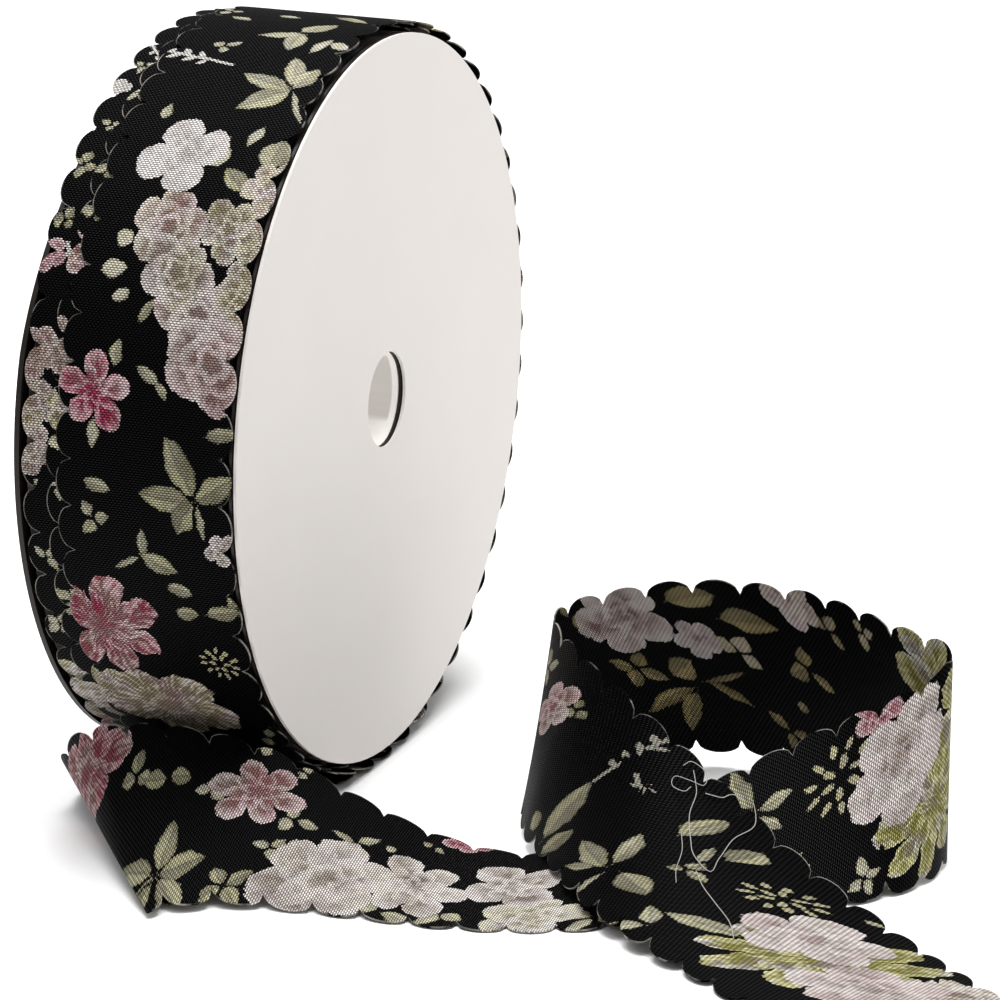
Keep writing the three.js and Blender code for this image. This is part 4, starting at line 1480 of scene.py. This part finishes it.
@dataclass
class LooseThreads:
    """Thin ends of thread that hang over the curl from its cut edge."""

    name: str = "loose_threads"
    threads: tuple[Thread, ...] = (
        Thread(0.07, ((25.4, 31.6, 0.5), (25.5, 30.4, 0.4), (25.6, 29.0, 0.35), (25.7, 25.0, 0.35),
                      (25.9, 21.8, 0.35), (26.1, 19.6, 0.35), (26.3, 19.1, 0.4), (26.32, 22.3, 0.4),
                      (26.3, 27.0, 0.35), (26.38, 31.8, 0.4), (26.3, 33.6, 0.7), (26.2, 34.6, 1.2))),
        Thread(0.07, ((25.7, 29.9, 0.5), (25.8, 30.6, 0.5), (25.9, 31.4, 0.5), (26.0, 33.4, 0.5),
                      (26.12, 33.8, 0.7))),
        Thread(0.065, ((25.25, 31.0, 0.4), (25.35, 32.6, 0.9), (25.52, 32.9, 0.6), (25.62, 30.8, 0.4),
                      (25.45, 29.7, 0.8), (25.25, 28.6, 0.5), (25.3, 26.9, 0.4), (25.45, 27.3, 0.8),
                      (25.5, 29.0, 0.5))),
        Thread(0.07, ((26.2, 17.8, 0.3), (26.4, 16.2, 0.3), (26.6, 15.3, 0.3), (26.9, 13.9, 0.3),
                      (27.1, 11.5, 0.3))),
        Thread(0.06, ((25.75, 21.6, 0.3), (25.9, 19.2, 0.3), (26.0, 15.5, 0.3), (26.1, 13.7, 0.3))),
    )
    sides: int = 5

    def build(self, surface: LooseSurface, material: bpy.types.Material) -> bpy.types.Object:
        """Builds all threads as one mesh.

        Args:
            surface: the loose end's surface, on which the threads lie.
            material: their finish.

        Returns:
            The piece.
        """
        points, faces = [], []
        for thread in self.threads:
            path = surface.smooth(thread.places)[::12]
            share = path[:, 0] / (len(LOOSE_ROWS) - 1)
            out = surface.outward(share, path[:, 1])
            middle = surface.place(share, path[:, 1]) + out * path[:, 2:]
            ahead = np.gradient(middle, axis=0)
            beside = np.cross(ahead, out)
            beside /= np.linalg.norm(beside, axis=1)[:, None]
            start = len(points)
            for turn in np.arange(self.sides) * 2 * math.pi / self.sides:
                ring = middle + thread.radius * (beside * math.cos(turn) + out * math.sin(turn))
                points += ring.tolist()
            count = len(middle)
            for side in range(self.sides):
                a, b = start + side * count, start + (side + 1) % self.sides * count
                faces += [(a + at, a + at + 1, b + at + 1, b + at) for at in range(count - 1)]
            faces.append([start + side * count for side in range(self.sides)])
            faces.append([start + side * count + count - 1 for side in reversed(range(self.sides))])
        mesh = bpy.data.meshes.new(self.name)
        mesh.from_pydata((np.array(points) * MM).tolist(), [], faces)
        mesh.materials.append(material)
        mesh.update()
        piece = bpy.data.objects.new(self.name, mesh)
        bpy.context.collection.objects.link(piece)
        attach(piece, "root")
        LOG.info("%s: %d threads, %d faces", self.name, len(self.threads), len(faces))
        return piece


def move(motif: Motif, distance: float) -> Motif:
    """Returns the motif moved along the cloth by a distance in millimetres."""
    return motif._replace(along=motif.along + distance)


# --- studio --------------------------------------------------------------------------------------


@dataclass(frozen=True)
class Studio:
    """White floor, soft lights and the camera."""

    camera_place: tuple[float, float, float] = (0.3883, -0.8721, 0.3404)
    azimuth: float = 21.72
    elevation: float = 17.2
    lens: float = 206.64

    def build(self) -> None:
        """Makes the camera, the floor and the lights."""
        a, e = math.radians(self.azimuth), math.radians(self.elevation)
        back = Vector((math.sin(a) * math.cos(e), -math.cos(a) * math.cos(e), math.sin(e)))
        right = Vector((math.cos(a), math.sin(a), 0))
        data = bpy.data.cameras.new("photo_camera")
        data.lens = self.lens
        data.sensor_width = 36
        data.clip_start = 0.05
        camera = bpy.data.objects.new("photo_camera", data)
        up = back.cross(right)
        turned = Matrix((right, up, back)).transposed().to_4x4()
        camera.matrix_world = Matrix.Translation(self.camera_place) @ turned
        bpy.context.collection.objects.link(camera)
        bpy.context.scene.camera = camera
        self.floor()
        self.light("key", (-0.2, -0.4, 1.2), (0.05, -0.02, 0.04), 1.0, 4.0)
        self.light("side", (1.2, -0.2, 0.5), (0.05, -0.02, 0.05), 0.9, 2.7)
        self.light("top", (0.05, 0.15, 1.2), (0.05, 0.0, 0.04), 0.9, 21)
        world = bpy.data.worlds.new("soft_white")
        world.use_nodes = True
        world.node_tree.nodes["Background"].inputs[0].default_value = linear("ffffff")
        world.node_tree.nodes["Background"].inputs[1].default_value = 0.36
        bpy.context.scene.world = world
        bpy.context.scene.view_settings.view_transform = "Standard"

    def floor(self) -> None:
        """Makes the pale floor."""
        mesh = bpy.data.meshes.new("floor")
        mesh.from_pydata([(-6, -6, -0.0002), (6, -6, -0.0002), (6, 6, -0.0002), (-6, 6, -0.0002)], [], [(0, 1, 2, 3)])
        material = bpy.data.materials.new("pale_floor")
        material.use_nodes = True
        shader = material.node_tree.nodes["Principled BSDF"]
        shader.inputs["Base Color"].default_value = linear("fcfcfc")
        shader.inputs["Roughness"].default_value = 0.9
        shader.inputs["Specular IOR Level"].default_value = 0.1
        mesh.materials.append(material)
        piece = bpy.data.objects.new("floor", mesh)
        bpy.context.collection.objects.link(piece)

    def light(self, name: str, place: tuple[float, float, float], target: tuple[float, float, float],
              size: float, power: float) -> None:
        """Makes a soft square light.

        Args:
            name: its name.
            place: where it stands.
            target: what it looks at.
            size: its side in metres.
            power: its power in watts.
        """
        data = bpy.data.lights.new(name, "AREA")
        data.size = size
        data.energy = power
        lamp = bpy.data.objects.new(name, data)
        lamp.location = place
        lamp.rotation_euler = (Vector(target) - Vector(place)).to_track_quat("-Z", "Y").to_euler()
        bpy.context.collection.objects.link(lamp)


def dress(node: str, material: bpy.types.Material) -> None:
    """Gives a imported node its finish.

    Args:
        node: the node's name.
        material: the finish.
    """
    piece = frame["nodes"][node]
    piece.data.materials.clear()
    piece.data.materials.append(material)
    LOG.info("%s: finished as %s", node, material.name)


def main() -> None:
    """Builds the pieces in order."""
    logging.basicConfig(level=logging.INFO, format="%(name)s %(message)s")
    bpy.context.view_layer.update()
    Studio().build()
    printed = PrintedPolyester("printed_polyester_face")
    # The dye comes through to the back a little duller and browner.
    dull = PrintedPolyester("printed_polyester_reverse", leaf="6c5d27", leaf_high="bba562", dulling=0.9)
    face, reverse = printed.build(), dull.build()
    WoundRibbon().build(face, reverse, WoundEdges().build())
    LooseEnd().build(face, reverse, SpunThread().build())
    card = CoatedCard().build()
    dark = DarkPolystyrene().build()
    dress("front_face", card)
    dress("front_flange", dark)
    FarDisc().build(dark)
    dress("core", PaperTube().build())


if __name__ == "__main__":
    main()
